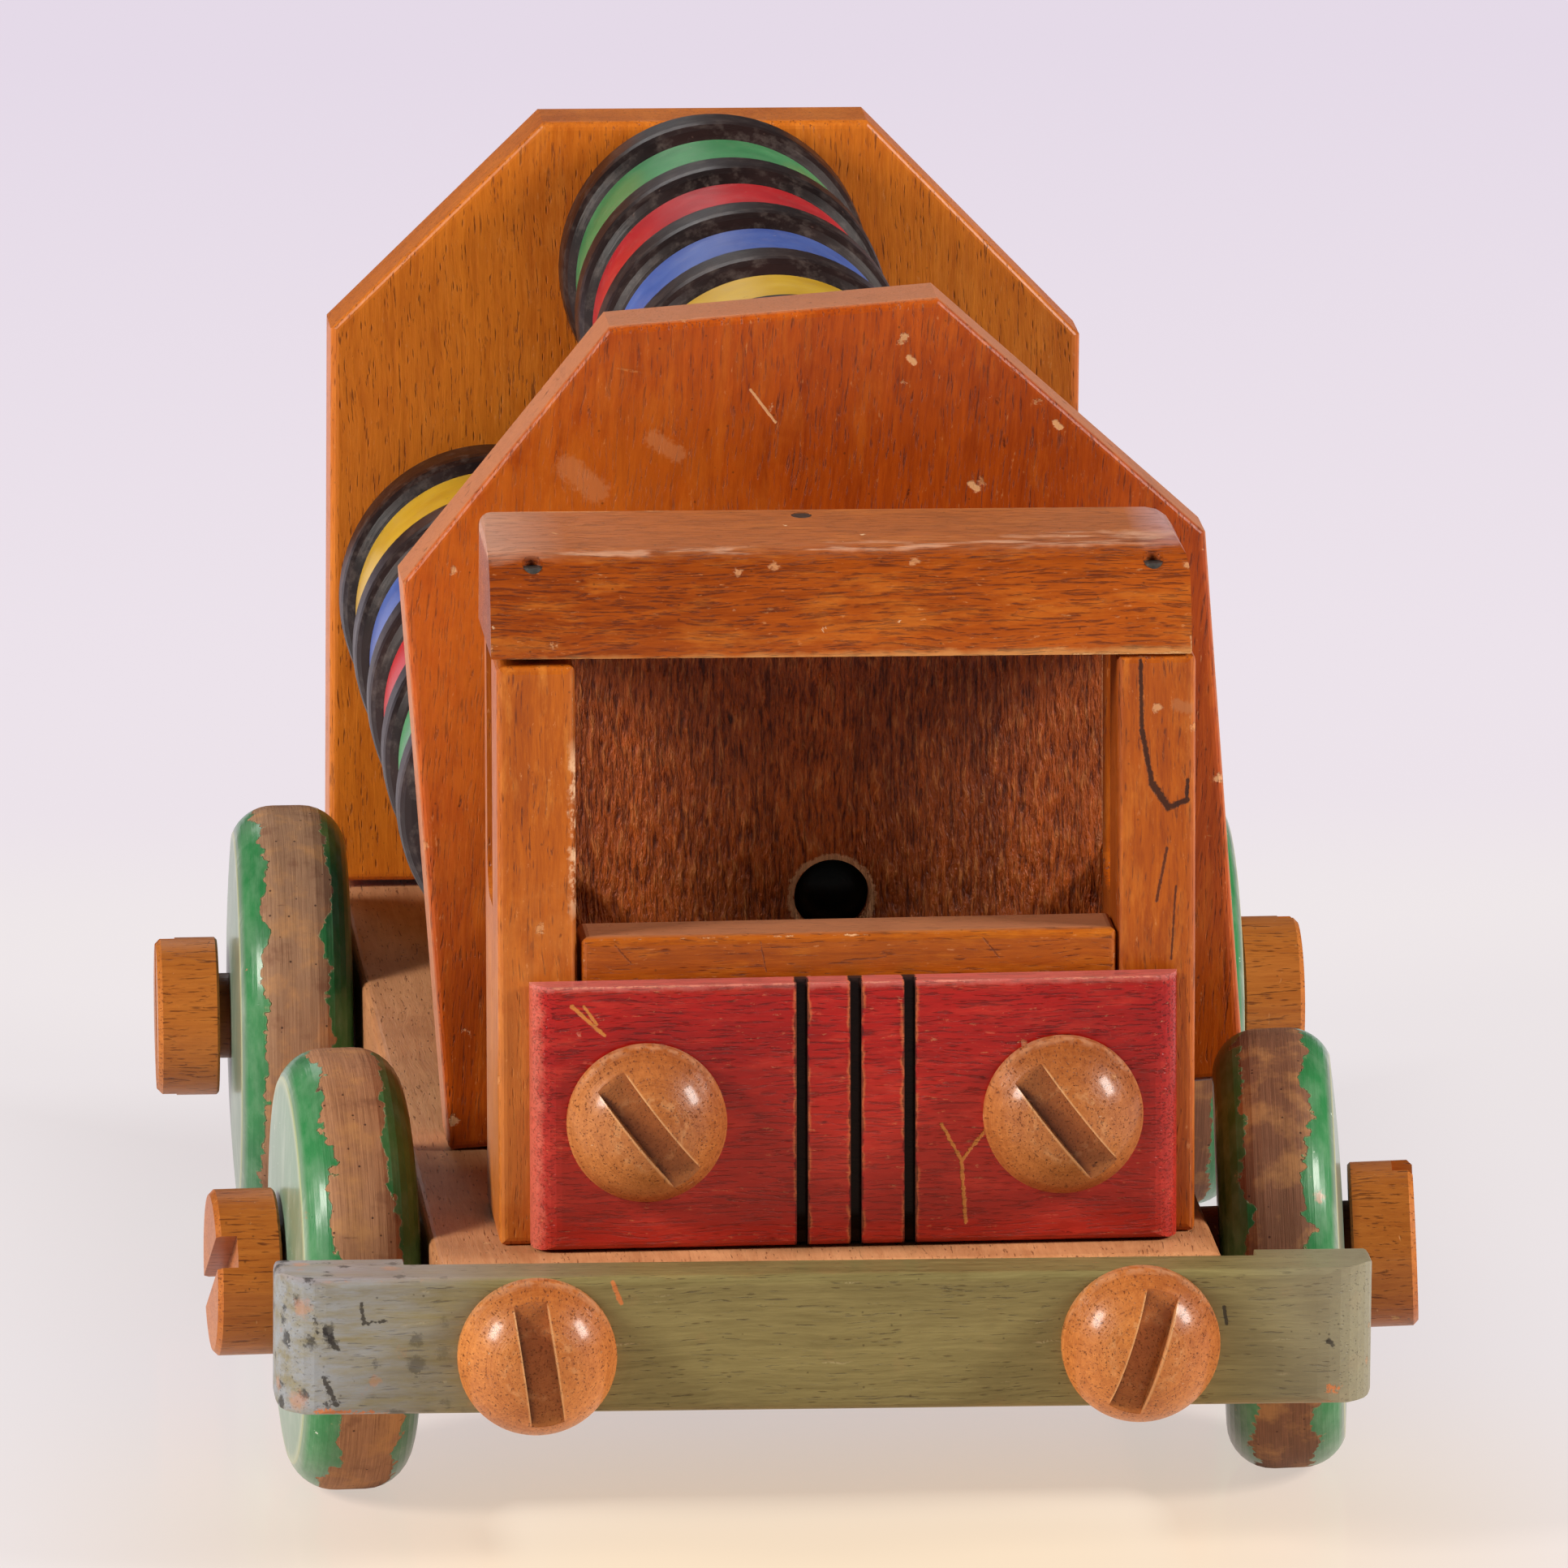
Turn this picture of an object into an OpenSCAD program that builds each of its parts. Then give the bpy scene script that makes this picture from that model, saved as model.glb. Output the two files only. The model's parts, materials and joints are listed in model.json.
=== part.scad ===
// Wooden toy truck: turned wheels on slotted wooden screws, a cab with a round-nosed roof,
// and three striped rollers carried on rods between two plates.
// Millimetres, +Z up, and the front faces -Y, so +X is the truck's own left.
// The origin is on the ground, midway between the wheels and midway along the truck.
// The toy is hand made and old: several pieces sit a little off centre, as named below.

/* [Wheels] */
// Diameter of each wheel over its tread
wheel_d = 60; // [54:1:66]
// Thickness of each wheel at its hub
wheel_t = 17; // [15:0.2:20]
// Radius of the round shoulders between the tread and the faces
wheel_shoulder_r = 6.3; // [3:0.1:7.5]
// How far inside the tread the crease round the outer face lies
wheel_crease_in = 3.9; // [2:0.1:5]
// How far the hub stands out beyond that crease
wheel_dome = 0.9; // [0.5:0.1:3]
// Distance from the front axle line to the rear axle line
wheelbase = 152; // [140:1:170]
// Gaps from the edge of a centred deck to the wheels: front left, front right, rear left, rear right
wheel_gaps = [2.7, 3, 3, 2]; // [2:0.1:6]

/* [Axle screws] */
// Diameter of the plain shank that a wheel turns on
axle_d = 12.2; // [9:0.2:14]
// Diameter of the head
axle_head_d = 22.6; // [18:0.2:26]
// Length of the head
axle_head_l = 8.8; // [6:0.2:12]
// Bevel round the head's end
axle_bevel = 0.7; // [0.3:0.1:1.2]
// Gap between the head and the wheel that stands farthest out
axle_head_gap = 0.6; // [0.4:0.1:2]
// How far the shank is driven into the deck's edge
axle_grip = 20; // [12:1:26]
// Depth of the slot across the end of the head
axle_slot_depth = 2.8; // [1.5:0.1:4]
// Slot angles from upright: front left, front right, rear left, rear right
axle_slot_angles = [4, -62, -10, 12]; // [-90:1:90]
// Degrees that each screw is driven askew, seen from above, in the same order
axle_askew = [-5, 2.4, 0, -1]; // [-6:0.1:6]
// Degrees that each wheel's top leans to the truck's left, in the same order
axle_lean = [-2.4, 0, 0, 0]; // [-3:0.1:3]

/* [Domed screws] */
// Diameter of the domed heads on the bumper
bumper_screw_d = 21.3; // [17:0.1:24]
// Diameter of the domed heads that serve as headlights
headlight_d = 21.5; // [17:0.1:24]
// Height of the straight rim under a dome
dome_rim = 1.5; // [0.5:0.1:3]
// Height of the dome above its rim
dome_h = 7.5; // [5:0.1:8]
// Diameter of a domed screw's shank
dome_shank_d = 10; // [7:0.5:12]
// Depth of the slot at the top of a dome
dome_slot_depth = 4; // [2:0.1:5]
// Width of the slot in every wooden screw
slot_w = 4.4; // [3:0.1:5]
// How far a bumper screw reaches into the deck
bumper_screw_grip = 16; // [10:1:20]
// How far a headlight screw reaches into the front panel
headlight_grip = 9; // [6:0.5:9.5]
// Slot angles of the bumper screws from upright: right, then left
bumper_slot_angles = [8, -18]; // [-90:1:90]
// Slot angle of the headlight screws from upright
headlight_slot_angle = 37.5; // [-90:0.5:90]

/* [Deck] */
// Width of the deck plank
deck_w = 105.6; // [100:0.2:116]
// Thickness of the deck plank
deck_t = 20; // [17:0.5:24]
// How far the deck reaches ahead of the front axle line
deck_front = 42.3; // [38:0.1:60]
// How far the deck reaches behind the rear axle line
deck_rear = 50; // [38:0.5:70]
// Sideways offset of the deck
deck_off = -1.2; // [-1.4:0.1:1.4]
// Radius of the eased edges of the boards
edge_r = 1.2; // [1.2:0.1:2]
// Radius of the crisp edges where one piece lies against another
crisp_r = 0.3; // [0.1:0.1:1]

/* [Bumper] */
// Width of the bumper
bumper_w = 147.4; // [140:0.2:160]
// Height of the bumper
bumper_h = 18.7; // [15:0.1:22]
// Thickness of the bumper between its ends
bumper_t = 8.2; // [6:0.1:11]
// How far the ends reach back beside the deck
bumper_wrap = 4.3; // [2:0.1:8]
// Gap between each wrapped end and the deck's side
bumper_wrap_gap = 4.5; // [3:0.1:6]
// How far the bumper stands above the deck's top
bumper_rise = 0.2; // [0:0.1:1]
// Radius of the bumper's front corners seen from above
bumper_corner_r = 8; // [4:0.5:10]
// Sideways offset of the bumper
bumper_off = -2.1; // [-2.5:0.1:2.5]
// Degrees that the bumper is turned, its left end up
bumper_turn = -0.6; // [-1.5:0.1:1.5]
// Distance between the bumper's screws
bumper_screw_spacing = 80.9; // [70:0.1:88]
// Sideways offset of the pair of bumper screws
bumper_screw_off = -0.75; // [-3:0.05:3]

/* [Cab] */
// Width over the cab's side boards
cab_w = 93.9; // [90:0.1:100]
// Depth of the cab from front to back
cab_depth = 25.7; // [24:0.1:34]
// Height of the cab's side boards
cab_h = 79.7; // [74:0.1:90]
// How far the cab stands behind the deck's front end
cab_setback = 12.1; // [10:0.1:16]
// Sideways offset of the cab
cab_off = 2.15; // [-2.5:0.05:2.5]
// Thickness of the side boards
side_t = 10.6; // [8:0.1:13]
// Depth of the pillar at the front of each side board
pillar_depth = 10; // [8:0.1:12]
// Height of the side window's sill above the deck
sill_h = 44.6; // [43:0.1:52]
// Radius of the window's lower rear corner
window_r = 4.7; // [2:0.1:5]
// Thickness of the front panel
panel_t = 9.9; // [9.6:0.1:10]
// Height of the front panel, whose top edge is the dash
panel_h = 42.3; // [38:0.1:48]
// Gap left between the front panel and the right side board
panel_gap = 0.6; // [0:0.1:1]
// Thickness of the back wall
wall_t = 5; // [4:0.1:6]
// Diameter of the peg that ties the back wall to the front plate
peg_d = 10.2; // [6:0.1:12]
// Height of the peg above the deck
peg_h = 42.6; // [25:0.1:60]
// Sideways offset of the peg from the cab's middle
peg_off = -0.35; // [-10:0.05:10]
// How far the peg's round end lies behind the wall's front face
peg_recess = 2; // [1:0.1:2.5]
// How far the peg reaches into the front plate
peg_grip = 6; // [4:0.5:8]

/* [Grille] */
// Width of the grille block
grille_w = 87.1; // [80:0.1:90]
// Height of the grille block
grille_h = 36.3; // [30:0.1:38]
// Thickness of the grille block
grille_t = 5; // [4:0.1:6]
// Gap between the grille block and the deck
grille_lift = 0.4; // [0:0.1:1.5]
// Sideways offset of the grille block
grille_off = 2.9; // [-3:0.1:3]
// Radius of the grille block's front upright edges
grille_corner_r = 4; // [1:0.1:4]
// Distance between the three saw grooves
groove_pitch = 7.25; // [5:0.05:8]
// Width of a saw groove
groove_w = 1.5; // [1:0.1:2.5]
// Depth of a saw groove
groove_depth = 2.5; // [1:0.1:3.5]
// Distance between the headlights
headlight_spacing = 56; // [50:0.1:60]
// Height of the headlights above the deck
headlight_h = 18.1; // [16:0.1:22]
// Sideways offset of the pair of headlights
headlight_off = 2.7; // [-3:0.1:3]

/* [Roof] */
// Width of the roof block
roof_w = 94; // [90:0.1:98]
// Thickness of the roof block at its back edge
roof_t = 14.8; // [13.5:0.1:18]
// How far the roof's front leans back before it bends over
roof_nose_back = 1.5; // [0.5:0.1:3]
// How far behind the roof's front the bend meets the flat top
roof_bend = 10; // [7:0.5:14]
// Height of the roof where the bend meets the flat top
roof_bend_h = 13.4; // [12:0.1:14]
// Radius of the roof's upper left end, and of its upper right end
roof_end_r = [4, 1.6]; // [1:0.1:6]
// Sideways offset of the roof
roof_off = 1.5; // [-2.5:0.1:2.5]
// How many degrees the roof tilts up towards the truck's right
roof_tilt = 0.6; // [0:0.05:1]

/* [Plates] */
// Thickness of each plate
plate_t = 12; // [10:0.5:15]
// Width of the front plate
front_plate_w = 110; // [106:0.5:114]
// Height of the front plate
front_plate_h = 112.8; // [110:0.1:125]
// Width cut off the front plate's upper left corner, and off its upper right one
front_cut_w = [34.3, 30.9]; // [20:0.1:35]
// Height cut off the front plate's upper left corner, and off its upper right one
front_cut_h = [36, 32.8]; // [20:0.1:36]
// Width of the rear plate
rear_plate_w = 108.5; // [106:0.5:114]
// Height of the rear plate
rear_plate_h = 111.8; // [110:0.1:125]
// Width cut off the rear plate's upper left corner, and off its upper right one
rear_cut_w = [31.2, 30.5]; // [20:0.1:34]
// Height cut off the rear plate's upper left corner, and off its upper right one
rear_cut_h = [31.8, 30.1]; // [20:0.1:36]
// Radius of the eased edges along the cut corners
cut_edge_r = 0.9; // [0.4:0.1:1.1]
// Gap between the front plate and the tread of the front wheels
plate_wheel_gap = 0.5; // [0.4:0.1:6]
// Distance from the rear plate to the deck's rear end
rear_inset = 2; // [0:0.5:20]
// Sideways offset of the front plate
front_plate_off = 6.66; // [-3:0.02:7]
// Sideways offset of the rear plate
rear_plate_off = -1; // [-5:0.1:5]
// Degrees that the front plate has worked loose, its left side up
front_plate_turn = 4.15; // [0:0.05:5]
// Degrees that the rear plate is turned, its left side up
rear_plate_turn = -0.6; // [-2:0.05:2]

/* [Rollers] */
// Diameter of the black discs
disc_d = 44.4; // [38:0.2:46]
// Diameter of the coloured discs
ring_d = 40.8; // [36:0.2:43]
// Thickness of each coloured disc
ring_t = 20.4; // [14:0.2:22]
// Radius of the black discs' round edges
disc_edge_r = 4; // [2:0.1:4.5]
// Radius of the coloured discs' edges
ring_edge_r = 1; // [0.3:0.1:2]
// Diameter of the rods
rod_d = 8; // [6:0.5:12]
// How far a rod reaches into each plate
rod_grip = 8; // [5:0.5:9]
// Gap between a roller and a plate
roller_gap = 1; // [0.5:0.1:5]
// Height of the top roller's axis above the deck
roller_top_h = 92.2; // [90:0.1:98]
// Height of the two low rollers' axes above the deck
roller_low_h = 44.3; // [35:0.1:46]
// Distance between the two low rollers' axes
roller_spread = 64; // [56:0.5:70]
// Sideways offset of the rollers
roller_off = 0.4; // [-3:0.1:3]

/* [Nails] */
// Diameter of a nail's shank
nail_d = 1.6; // [1.4:0.1:2.4]
// Diameter of a nail's head
nail_head_d = 2.8; // [2.6:0.1:4]
// Thickness of a nail's head
nail_head_t = 0.8; // [0.5:0.1:1.2]
// How far a nail reaches beyond the board that it holds down
nail_bite = 18; // [10:1:22]
// Distance of the roof's front nails from the cab's front
roof_nail_back = 5.6; // [5:0.1:7]
// Sideways offset of the roof's back nail from the cab's middle
roof_back_nail_off = -4.2; // [-20:0.1:20]
// Distance between the front panel's nails
panel_nail_spacing = 24; // [16:1:30]
// Distance between the rear plate's nails
plate_nail_spacing = 70; // [50:1:90]
// Distance from the front plate's low corner to the one nail that still holds it
loose_nail_in = 8; // [4:1:14]

/* [Fits] */
// Radial clearance of a wheel on its screw and a roller on its rod
run_fit = 0.05; // [0.02:0.01:0.1]
// Radial clearance of a screw, peg, rod or nail that is driven home
drive_fit = 0.02; // [0.01:0.01:0.05]

/* [Hidden] */
ROLLERS = ["top", "left", "right"];
BANDS = ["green", "red", "blue", "yellow"];
$fn = 96;
// Smallest overlap that makes a cut come out clean
cut = 1;
// Sides along the truck
LEFT = 1;
RIGHT = -1;

// Heights, with the axle line at mid thickness of the deck
wheel_r = wheel_d / 2;
deck_bottom = wheel_r - deck_t / 2;
deck_top = wheel_r + deck_t / 2;
bumper_z = deck_top + bumper_rise - bumper_h / 2;
cab_top = deck_top + cab_h;
headlight_z = deck_top + headlight_h;
peg_z = deck_top + peg_h;

// Places across the truck
wheel_x0s = [for (gap = wheel_gaps) deck_w / 2 + gap];
axle_head_x0 = max(wheel_x0s) + wheel_t + axle_head_gap;
axle_x0 = deck_w / 2 - axle_grip;
cab_x0 = cab_off - cab_w / 2;
cab_x1 = cab_off + cab_w / 2;
cab_in_x0 = cab_x0 + side_t;
cab_in_x1 = cab_x1 - side_t;
peg_x = cab_off + peg_off;
headlight_xs = [for (s = [RIGHT, LEFT]) headlight_off + s * headlight_spacing / 2];
bumper_screw_xs = [for (s = [RIGHT, LEFT]) bumper_screw_off + s * bumper_screw_spacing / 2];
side_xs = [cab_x0 + side_t / 2, cab_x1 - side_t / 2];

// Places along the truck, from the front axle line back
// The front plate stands just clear of the front left wheel, at the height where it meets it
deck_y0 = -deck_front;
deck_y1 = wheelbase + deck_rear;
bumper_y0 = deck_y0 - bumper_t;
cab_y0 = deck_y0 + cab_setback;
cab_y1 = cab_y0 + cab_depth;
wall_y0 = cab_y1 - wall_t;
grille_y0 = cab_y0 - grille_t;
low_corner_x = front_plate_off - front_plate_w / 2 * cos(front_plate_turn);
clash_x = wheel_x0s[0] - wheel_r * sin(axle_askew[0]);
clash_h = deck_top + (clash_x - low_corner_x) * sin(front_plate_turn) - wheel_r;
front_plate_y0 = sqrt(pow(wheel_r + plate_wheel_gap, 2) - pow(clash_h, 2));
front_plate_y1 = front_plate_y0 + plate_t;
rear_plate_y1 = deck_y1 - rear_inset;
rear_plate_y0 = rear_plate_y1 - plate_t;
dome_total = dome_rim + dome_h;
truck_y0 = bumper_y0 - dome_total;
truck_mid = (truck_y0 + deck_y1) / 2;

// The axles, each as its side and its place along the truck, in the order of the lists above
AXLES = [[LEFT, 0], [RIGHT, 0], [LEFT, wheelbase], [RIGHT, wheelbase]];

// Rollers: each axis as [x, height], and the lengths of the discs
roller_axes = [
  [roller_off, deck_top + roller_top_h],
  [roller_off + roller_spread / 2, deck_top + roller_low_h],
  [roller_off - roller_spread / 2, deck_top + roller_low_h]
];
bed_l = rear_plate_y0 - front_plate_y1;
roller_l = bed_l - 2 * roller_gap;
disc_t = (roller_l - len(BANDS) * ring_t) / (len(BANDS) + 1);
band_pitch = disc_t + ring_t;
roller_y1 = rear_plate_y0 - roller_gap;

// Nails: those that come up through the deck, then those that go down through the roof
panel_nail_xs = [for (s = [RIGHT, LEFT]) cab_off + s * panel_nail_spacing / 2];
deck_nail_points = concat(
  [for (x = side_xs) [x, (cab_y0 + cab_y1) / 2]],
  [for (x = panel_nail_xs) [x, cab_y0 + panel_t / 2]],
  [for (s = [RIGHT, LEFT]) [rear_plate_off + s * plate_nail_spacing / 2, rear_plate_y0 + plate_t / 2]],
  [[low_corner_x + loose_nail_in, front_plate_y0 + plate_t / 2]]
);
roof_nail_points = [
  [side_xs[0], cab_y0 + roof_nail_back],
  [side_xs[1], cab_y0 + roof_nail_back],
  [cab_off + roof_back_nail_off, wall_y0 + wall_t / 2]
];

// The roof tilts about the lower edge of its left end, or of the cab if that is narrower
roof_hinge_x = min(roof_off + roof_w / 2, cab_x1);
// Its front would meet the line of its flat top at the height of its nose
roof_slope = (roof_t - roof_bend_h) / (cab_depth - roof_bend);
roof_nose_h = roof_bend_h - (roof_bend - roof_nose_back) * roof_slope;

// Points of an arc, [x, y], from angle a0 to angle a1
function arc(x, y, r, a0, a1, n = 6) =
  [for (i = [0:n]) let (a = a0 + (a1 - a0) * i / n) [x + r * cos(a), y + r * sin(a)]];

// Points of a curve that leaves p0 towards p1 and reaches p2 from p1
function bend(p0, p1, p2, n = 14) =
  [for (i = [0:n]) let (t = i / n) (1 - t) * (1 - t) * p0 + 2 * t * (1 - t) * p1 + t * t * p2];

// Rectangle from the origin with round corners: two low ones, one upper at x = w, one at x = 0
function round_rect(w, h, r_low, r_far, r_near) = concat(
  arc(r_low, r_low, r_low, 180, 270, 4),
  arc(w - r_low, r_low, r_low, 270, 360, 4),
  arc(w - r_far, h - r_far, r_far, 0, 90, 4),
  arc(r_near, h - r_near, r_near, 90, 180, 4)
);

// Height of the roof's top above its underside, a distance y behind the cab's front
function roof_curve(y) =
  let (run = roof_bend - 2 * roof_nose_back)
  let (t = (sqrt(pow(roof_nose_back, 2) + run * min(y, roof_bend)) - roof_nose_back) / run)
  2 * t * (1 - t) * roof_nose_h + t * t * roof_bend_h + max(y - roof_bend, 0) * roof_slope;

// Height at which the roof nail at point p rests, its head half sunk in the slope
function roof_nail_z(p) =
  cab_top + (roof_hinge_x - p.x) * tan(roof_tilt) + roof_curve(p.y - cab_y0 - nail_head_d / 4);

// The whole truck stands in this frame: y from the front axle line becomes y from the middle
module on_truck() {
  translate([0, -truck_mid, 0]) children();
}

// Extrudes an [x, z] outline along +Y from y = 0
module along_y(l) {
  translate([0, l, 0]) rotate([90, 0, 0]) linear_extrude(l) children();
}

// Extrudes a [y, z] outline along +X from x = 0
module along_x(l) {
  rotate([90, 0, 90]) linear_extrude(l) children();
}

// A board with one corner at the origin and eased edges all round
module board(size, r = edge_r) {
  intersection() {
    linear_extrude(size.z) polygon(round_rect(size.x, size.y, r, r, r));
    along_y(size.y) polygon(round_rect(size.x, size.z, r, r, r));
    along_x(size.x) polygon(round_rect(size.y, size.z, r, r, r));
  }
}

// Turns a piece made along +Z so that it points to the truck's front
module facing_front() {
  rotate([90, 0, 0]) children();
}

// Turns a piece made along +Z so that it points out from one side
module facing_side(side) {
  rotate([0, 90 * side, 0]) children();
}

// A slot across the head of a wooden screw, its floor at z = 0
module slot(d, depth, angle) {
  rotate([0, 0, angle]) translate([-slot_w / 2, -d, 0]) cube([slot_w, 2 * d, depth + cut]);
}

// A wooden screw with a domed head that stands on z = 0 and a shank that goes down
module domed_screw(d, shank_l, angle) {
  dome_r = (d * d / 4 + dome_h * dome_h) / (2 * dome_h);
  difference() {
    union() {
      cylinder(d = d, h = dome_rim);
      intersection() {
        translate([0, 0, dome_total - dome_r]) sphere(r = dome_r);
        translate([0, 0, dome_rim]) cylinder(d = d, h = dome_h + cut);
      }
      translate([0, 0, -shank_l]) cylinder(d = dome_shank_d, h = shank_l + dome_rim);
    }
    translate([0, 0, dome_total - dome_slot_depth]) slot(d, dome_slot_depth, angle);
  }
}

// The hole that a driven shank of diameter d fills, downwards from z = 0 and open above
module shank_hole(d, l) {
  translate([0, 0, -l]) cylinder(d = d + 2 * drive_fit, h = l + cut);
}

// A nail with the top of its head at z = 0 and its shank down to z = -l
module nail(l) {
  translate([0, 0, -nail_head_t]) cylinder(d = nail_head_d, h = nail_head_t, $fn = 32);
  translate([0, 0, -l]) cylinder(d = nail_d, h = l - nail_head_t / 2, $fn = 32);
}

// The hole that such a nail fills, open above its head
module nail_hole(l) {
  head_h = nail_head_t + drive_fit;
  translate([0, 0, -head_h])
    cylinder(d = nail_head_d + 2 * drive_fit, h = head_h + nail_head_d, $fn = 32);
  translate([0, 0, -l]) cylinder(d = nail_d + 2 * drive_fit, h = l, $fn = 32);
}

// Places its children, made along -Z, at each nail under the deck, pointing up
module at_deck_nails() {
  for (p = deck_nail_points) translate([p.x, p.y, deck_bottom]) rotate([180, 0, 0]) children();
}

// Places its children at each nail in the roof, pointing down
module at_roof_nails() {
  for (p = roof_nail_points) translate([p.x, p.y, roof_nail_z(p)]) children();
}

// Height of axle i, at which its wheel stands on the ground although it may lean
function axle_h(i) = let (shoulder_r = min(wheel_shoulder_r, (wheel_t - wheel_dome) / 2))
  shoulder_r + (wheel_r - shoulder_r) * cos(axle_lean[i])
  + (wheel_t / 2 - shoulder_r) * abs(sin(axle_lean[i]));

// Places its children on axle i: made along +Z, with the wheel's inner face at z = 0
module on_axle(i) {
  side = AXLES[i][0];
  on_truck() translate([side * (wheel_x0s[i] + wheel_t / 2), AXLES[i][1], axle_h(i)])
    rotate([0, axle_lean[i], axle_askew[i]]) facing_side(side)
      translate([0, 0, -wheel_t / 2]) children();
}

// Wheels and their screws
module wheel(i) {
  crease_z = wheel_t - wheel_dome;
  shoulder_r = min(wheel_shoulder_r, crease_z / 2);
  shoulder_x = wheel_r - shoulder_r;
  crease_a = acos((shoulder_r - wheel_crease_in) / shoulder_r);
  bore_r = axle_d / 2 + run_fit;
  crease = [wheel_r - wheel_crease_in, crease_z];
  hub = [bore_r, wheel_t];
  face = [(crease.x + hub.x) / 2, wheel_t];
  profile = concat(
    [[bore_r, 0]],
    arc(shoulder_x, shoulder_r, shoulder_r, -90, 0, 8),
    arc(shoulder_x, crease_z - shoulder_r * sin(crease_a), shoulder_r, 0, crease_a, 8),
    [for (k = [1:6]) bend(crease, face, hub, 6)[k]]
  );
  color("mediumseagreen") on_axle(i) rotate_extrude() polygon(profile);
}

module axle_screw(i) {
  head_r = axle_head_d / 2;
  head = [
    [0, 0], [head_r - axle_bevel / 2, 0], [head_r, axle_bevel / 2],
    [head_r, axle_head_l - axle_bevel], [head_r - axle_bevel, axle_head_l], [0, axle_head_l]
  ];
  on_axle(i) translate([0, 0, axle_head_x0 - wheel_x0s[i]]) difference() {
    union() {
      rotate_extrude() polygon(head);
      translate([0, 0, axle_x0 - axle_head_x0])
        cylinder(d = axle_d, h = axle_head_x0 - axle_x0 + axle_bevel);
    }
    translate([0, 0, axle_head_l - axle_slot_depth]) rotate([0, 0, 90])
      slot(axle_head_d, axle_slot_depth, axle_slot_angles[i]);
  }
}

module axle_screws() {
  color("peru") for (i = [0:len(AXLES) - 1]) axle_screw(i);
}

// Deck, with holes for the axle screws, the bumper screws and the nails
module deck() {
  color("rosybrown") difference() {
    on_truck() translate([deck_off - deck_w / 2, deck_y0, deck_bottom])
      board([deck_w, deck_y1 - deck_y0, deck_t]);
    for (i = [0:len(AXLES) - 1])
      on_axle(i) shank_hole(axle_d, axle_grip + wheel_gaps[i]);
    on_truck() for (x = bumper_screw_xs)
      translate([x, deck_y0, wheel_r]) facing_front() shank_hole(dome_shank_d, bumper_screw_grip);
    on_truck() at_deck_nails() nail_hole(deck_t + cut);
  }
}

// Bumper, thin between its ends, with round corners
module bumper() {
  w = bumper_w;
  end_t = bumper_t + bumper_wrap;
  r = bumper_corner_r;
  rebate_x0 = deck_off - deck_w / 2 - bumper_wrap_gap - (bumper_off - w / 2);
  rebate_x1 = deck_off + deck_w / 2 + bumper_wrap_gap - (bumper_off - w / 2);
  plan = concat(
    arc(r, r, r, 180, 270, 8),
    arc(w - r, r, r, 270, 360, 8),
    arc(w - edge_r, end_t - edge_r, edge_r, 0, 90, 4),
    [[rebate_x1, end_t], [rebate_x1, bumper_t], [rebate_x0, bumper_t], [rebate_x0, end_t]],
    arc(edge_r, end_t - edge_r, edge_r, 90, 180, 4)
  );
  color("darkkhaki") on_truck() difference() {
    translate([bumper_off, bumper_y0, bumper_z]) rotate([0, -bumper_turn, 0])
      translate([-w / 2, 0, -bumper_h / 2]) intersection() {
        linear_extrude(bumper_h) polygon(plan);
        along_y(end_t) polygon(round_rect(w, bumper_h, edge_r, edge_r, edge_r));
        along_x(w) polygon(round_rect(end_t, bumper_h, edge_r, edge_r, edge_r));
      }
    for (x = bumper_screw_xs)
      translate([x, bumper_y0, wheel_r]) facing_front() shank_hole(dome_shank_d, bumper_t + cut);
  }
}

module bumper_screws() {
  color("burlywood") on_truck() for (i = [0, 1])
    translate([bumper_screw_xs[i], bumper_y0, wheel_r]) facing_front()
      domed_screw(bumper_screw_d, bumper_t + bumper_screw_grip, bumper_slot_angles[i]);
}

// Grille block with three saw grooves
module grille_block() {
  r = grille_corner_r;
  plan = concat(
    arc(r, r, r, 180, 270, 8),
    arc(grille_w - r, r, r, 270, 360, 8),
    [[grille_w, grille_t], [0, grille_t]]
  );
  color("firebrick") on_truck() difference() {
    translate([grille_off - grille_w / 2, grille_y0, deck_top + grille_lift]) intersection() {
      linear_extrude(grille_h) polygon(plan);
      along_x(grille_w) polygon(round_rect(grille_t, grille_h, edge_r, edge_r, crisp_r));
    }
    for (i = [-1:1])
      translate([grille_off + i * groove_pitch - groove_w / 2, grille_y0 - cut, deck_top])
        cube([groove_w, groove_depth + cut, grille_lift + grille_h + cut]);
    for (x = headlight_xs)
      translate([x, grille_y0, headlight_z]) facing_front() shank_hole(dome_shank_d, grille_t + cut);
  }
}

module headlight_screws() {
  color("burlywood") on_truck() for (x = headlight_xs)
    translate([x, grille_y0, headlight_z]) facing_front()
      domed_screw(headlight_d, grille_t + headlight_grip, headlight_slot_angle);
}

// Cab side board: a pillar in front, a window with a sill, and a narrow post behind
module cab_side(x0) {
  window_w = cab_depth - pillar_depth - wall_t;
  window_h = cab_h - sill_h + cut;
  window = concat(
    [[window_w, window_h], [0, window_h], [0, 0]],
    arc(window_w - window_r, window_r, window_r, 270, 360, 6)
  );
  color("sienna") on_truck() difference() {
    translate([x0, cab_y0, deck_top]) board([side_t, cab_depth, cab_h]);
    translate([x0 - cut, cab_y0 + pillar_depth, deck_top + sill_h])
      along_x(side_t + 2 * cut) polygon(window);
    at_deck_nails() nail_hole(deck_t + nail_bite);
    at_roof_nails() nail_hole(roof_t + nail_bite);
  }
}

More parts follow.
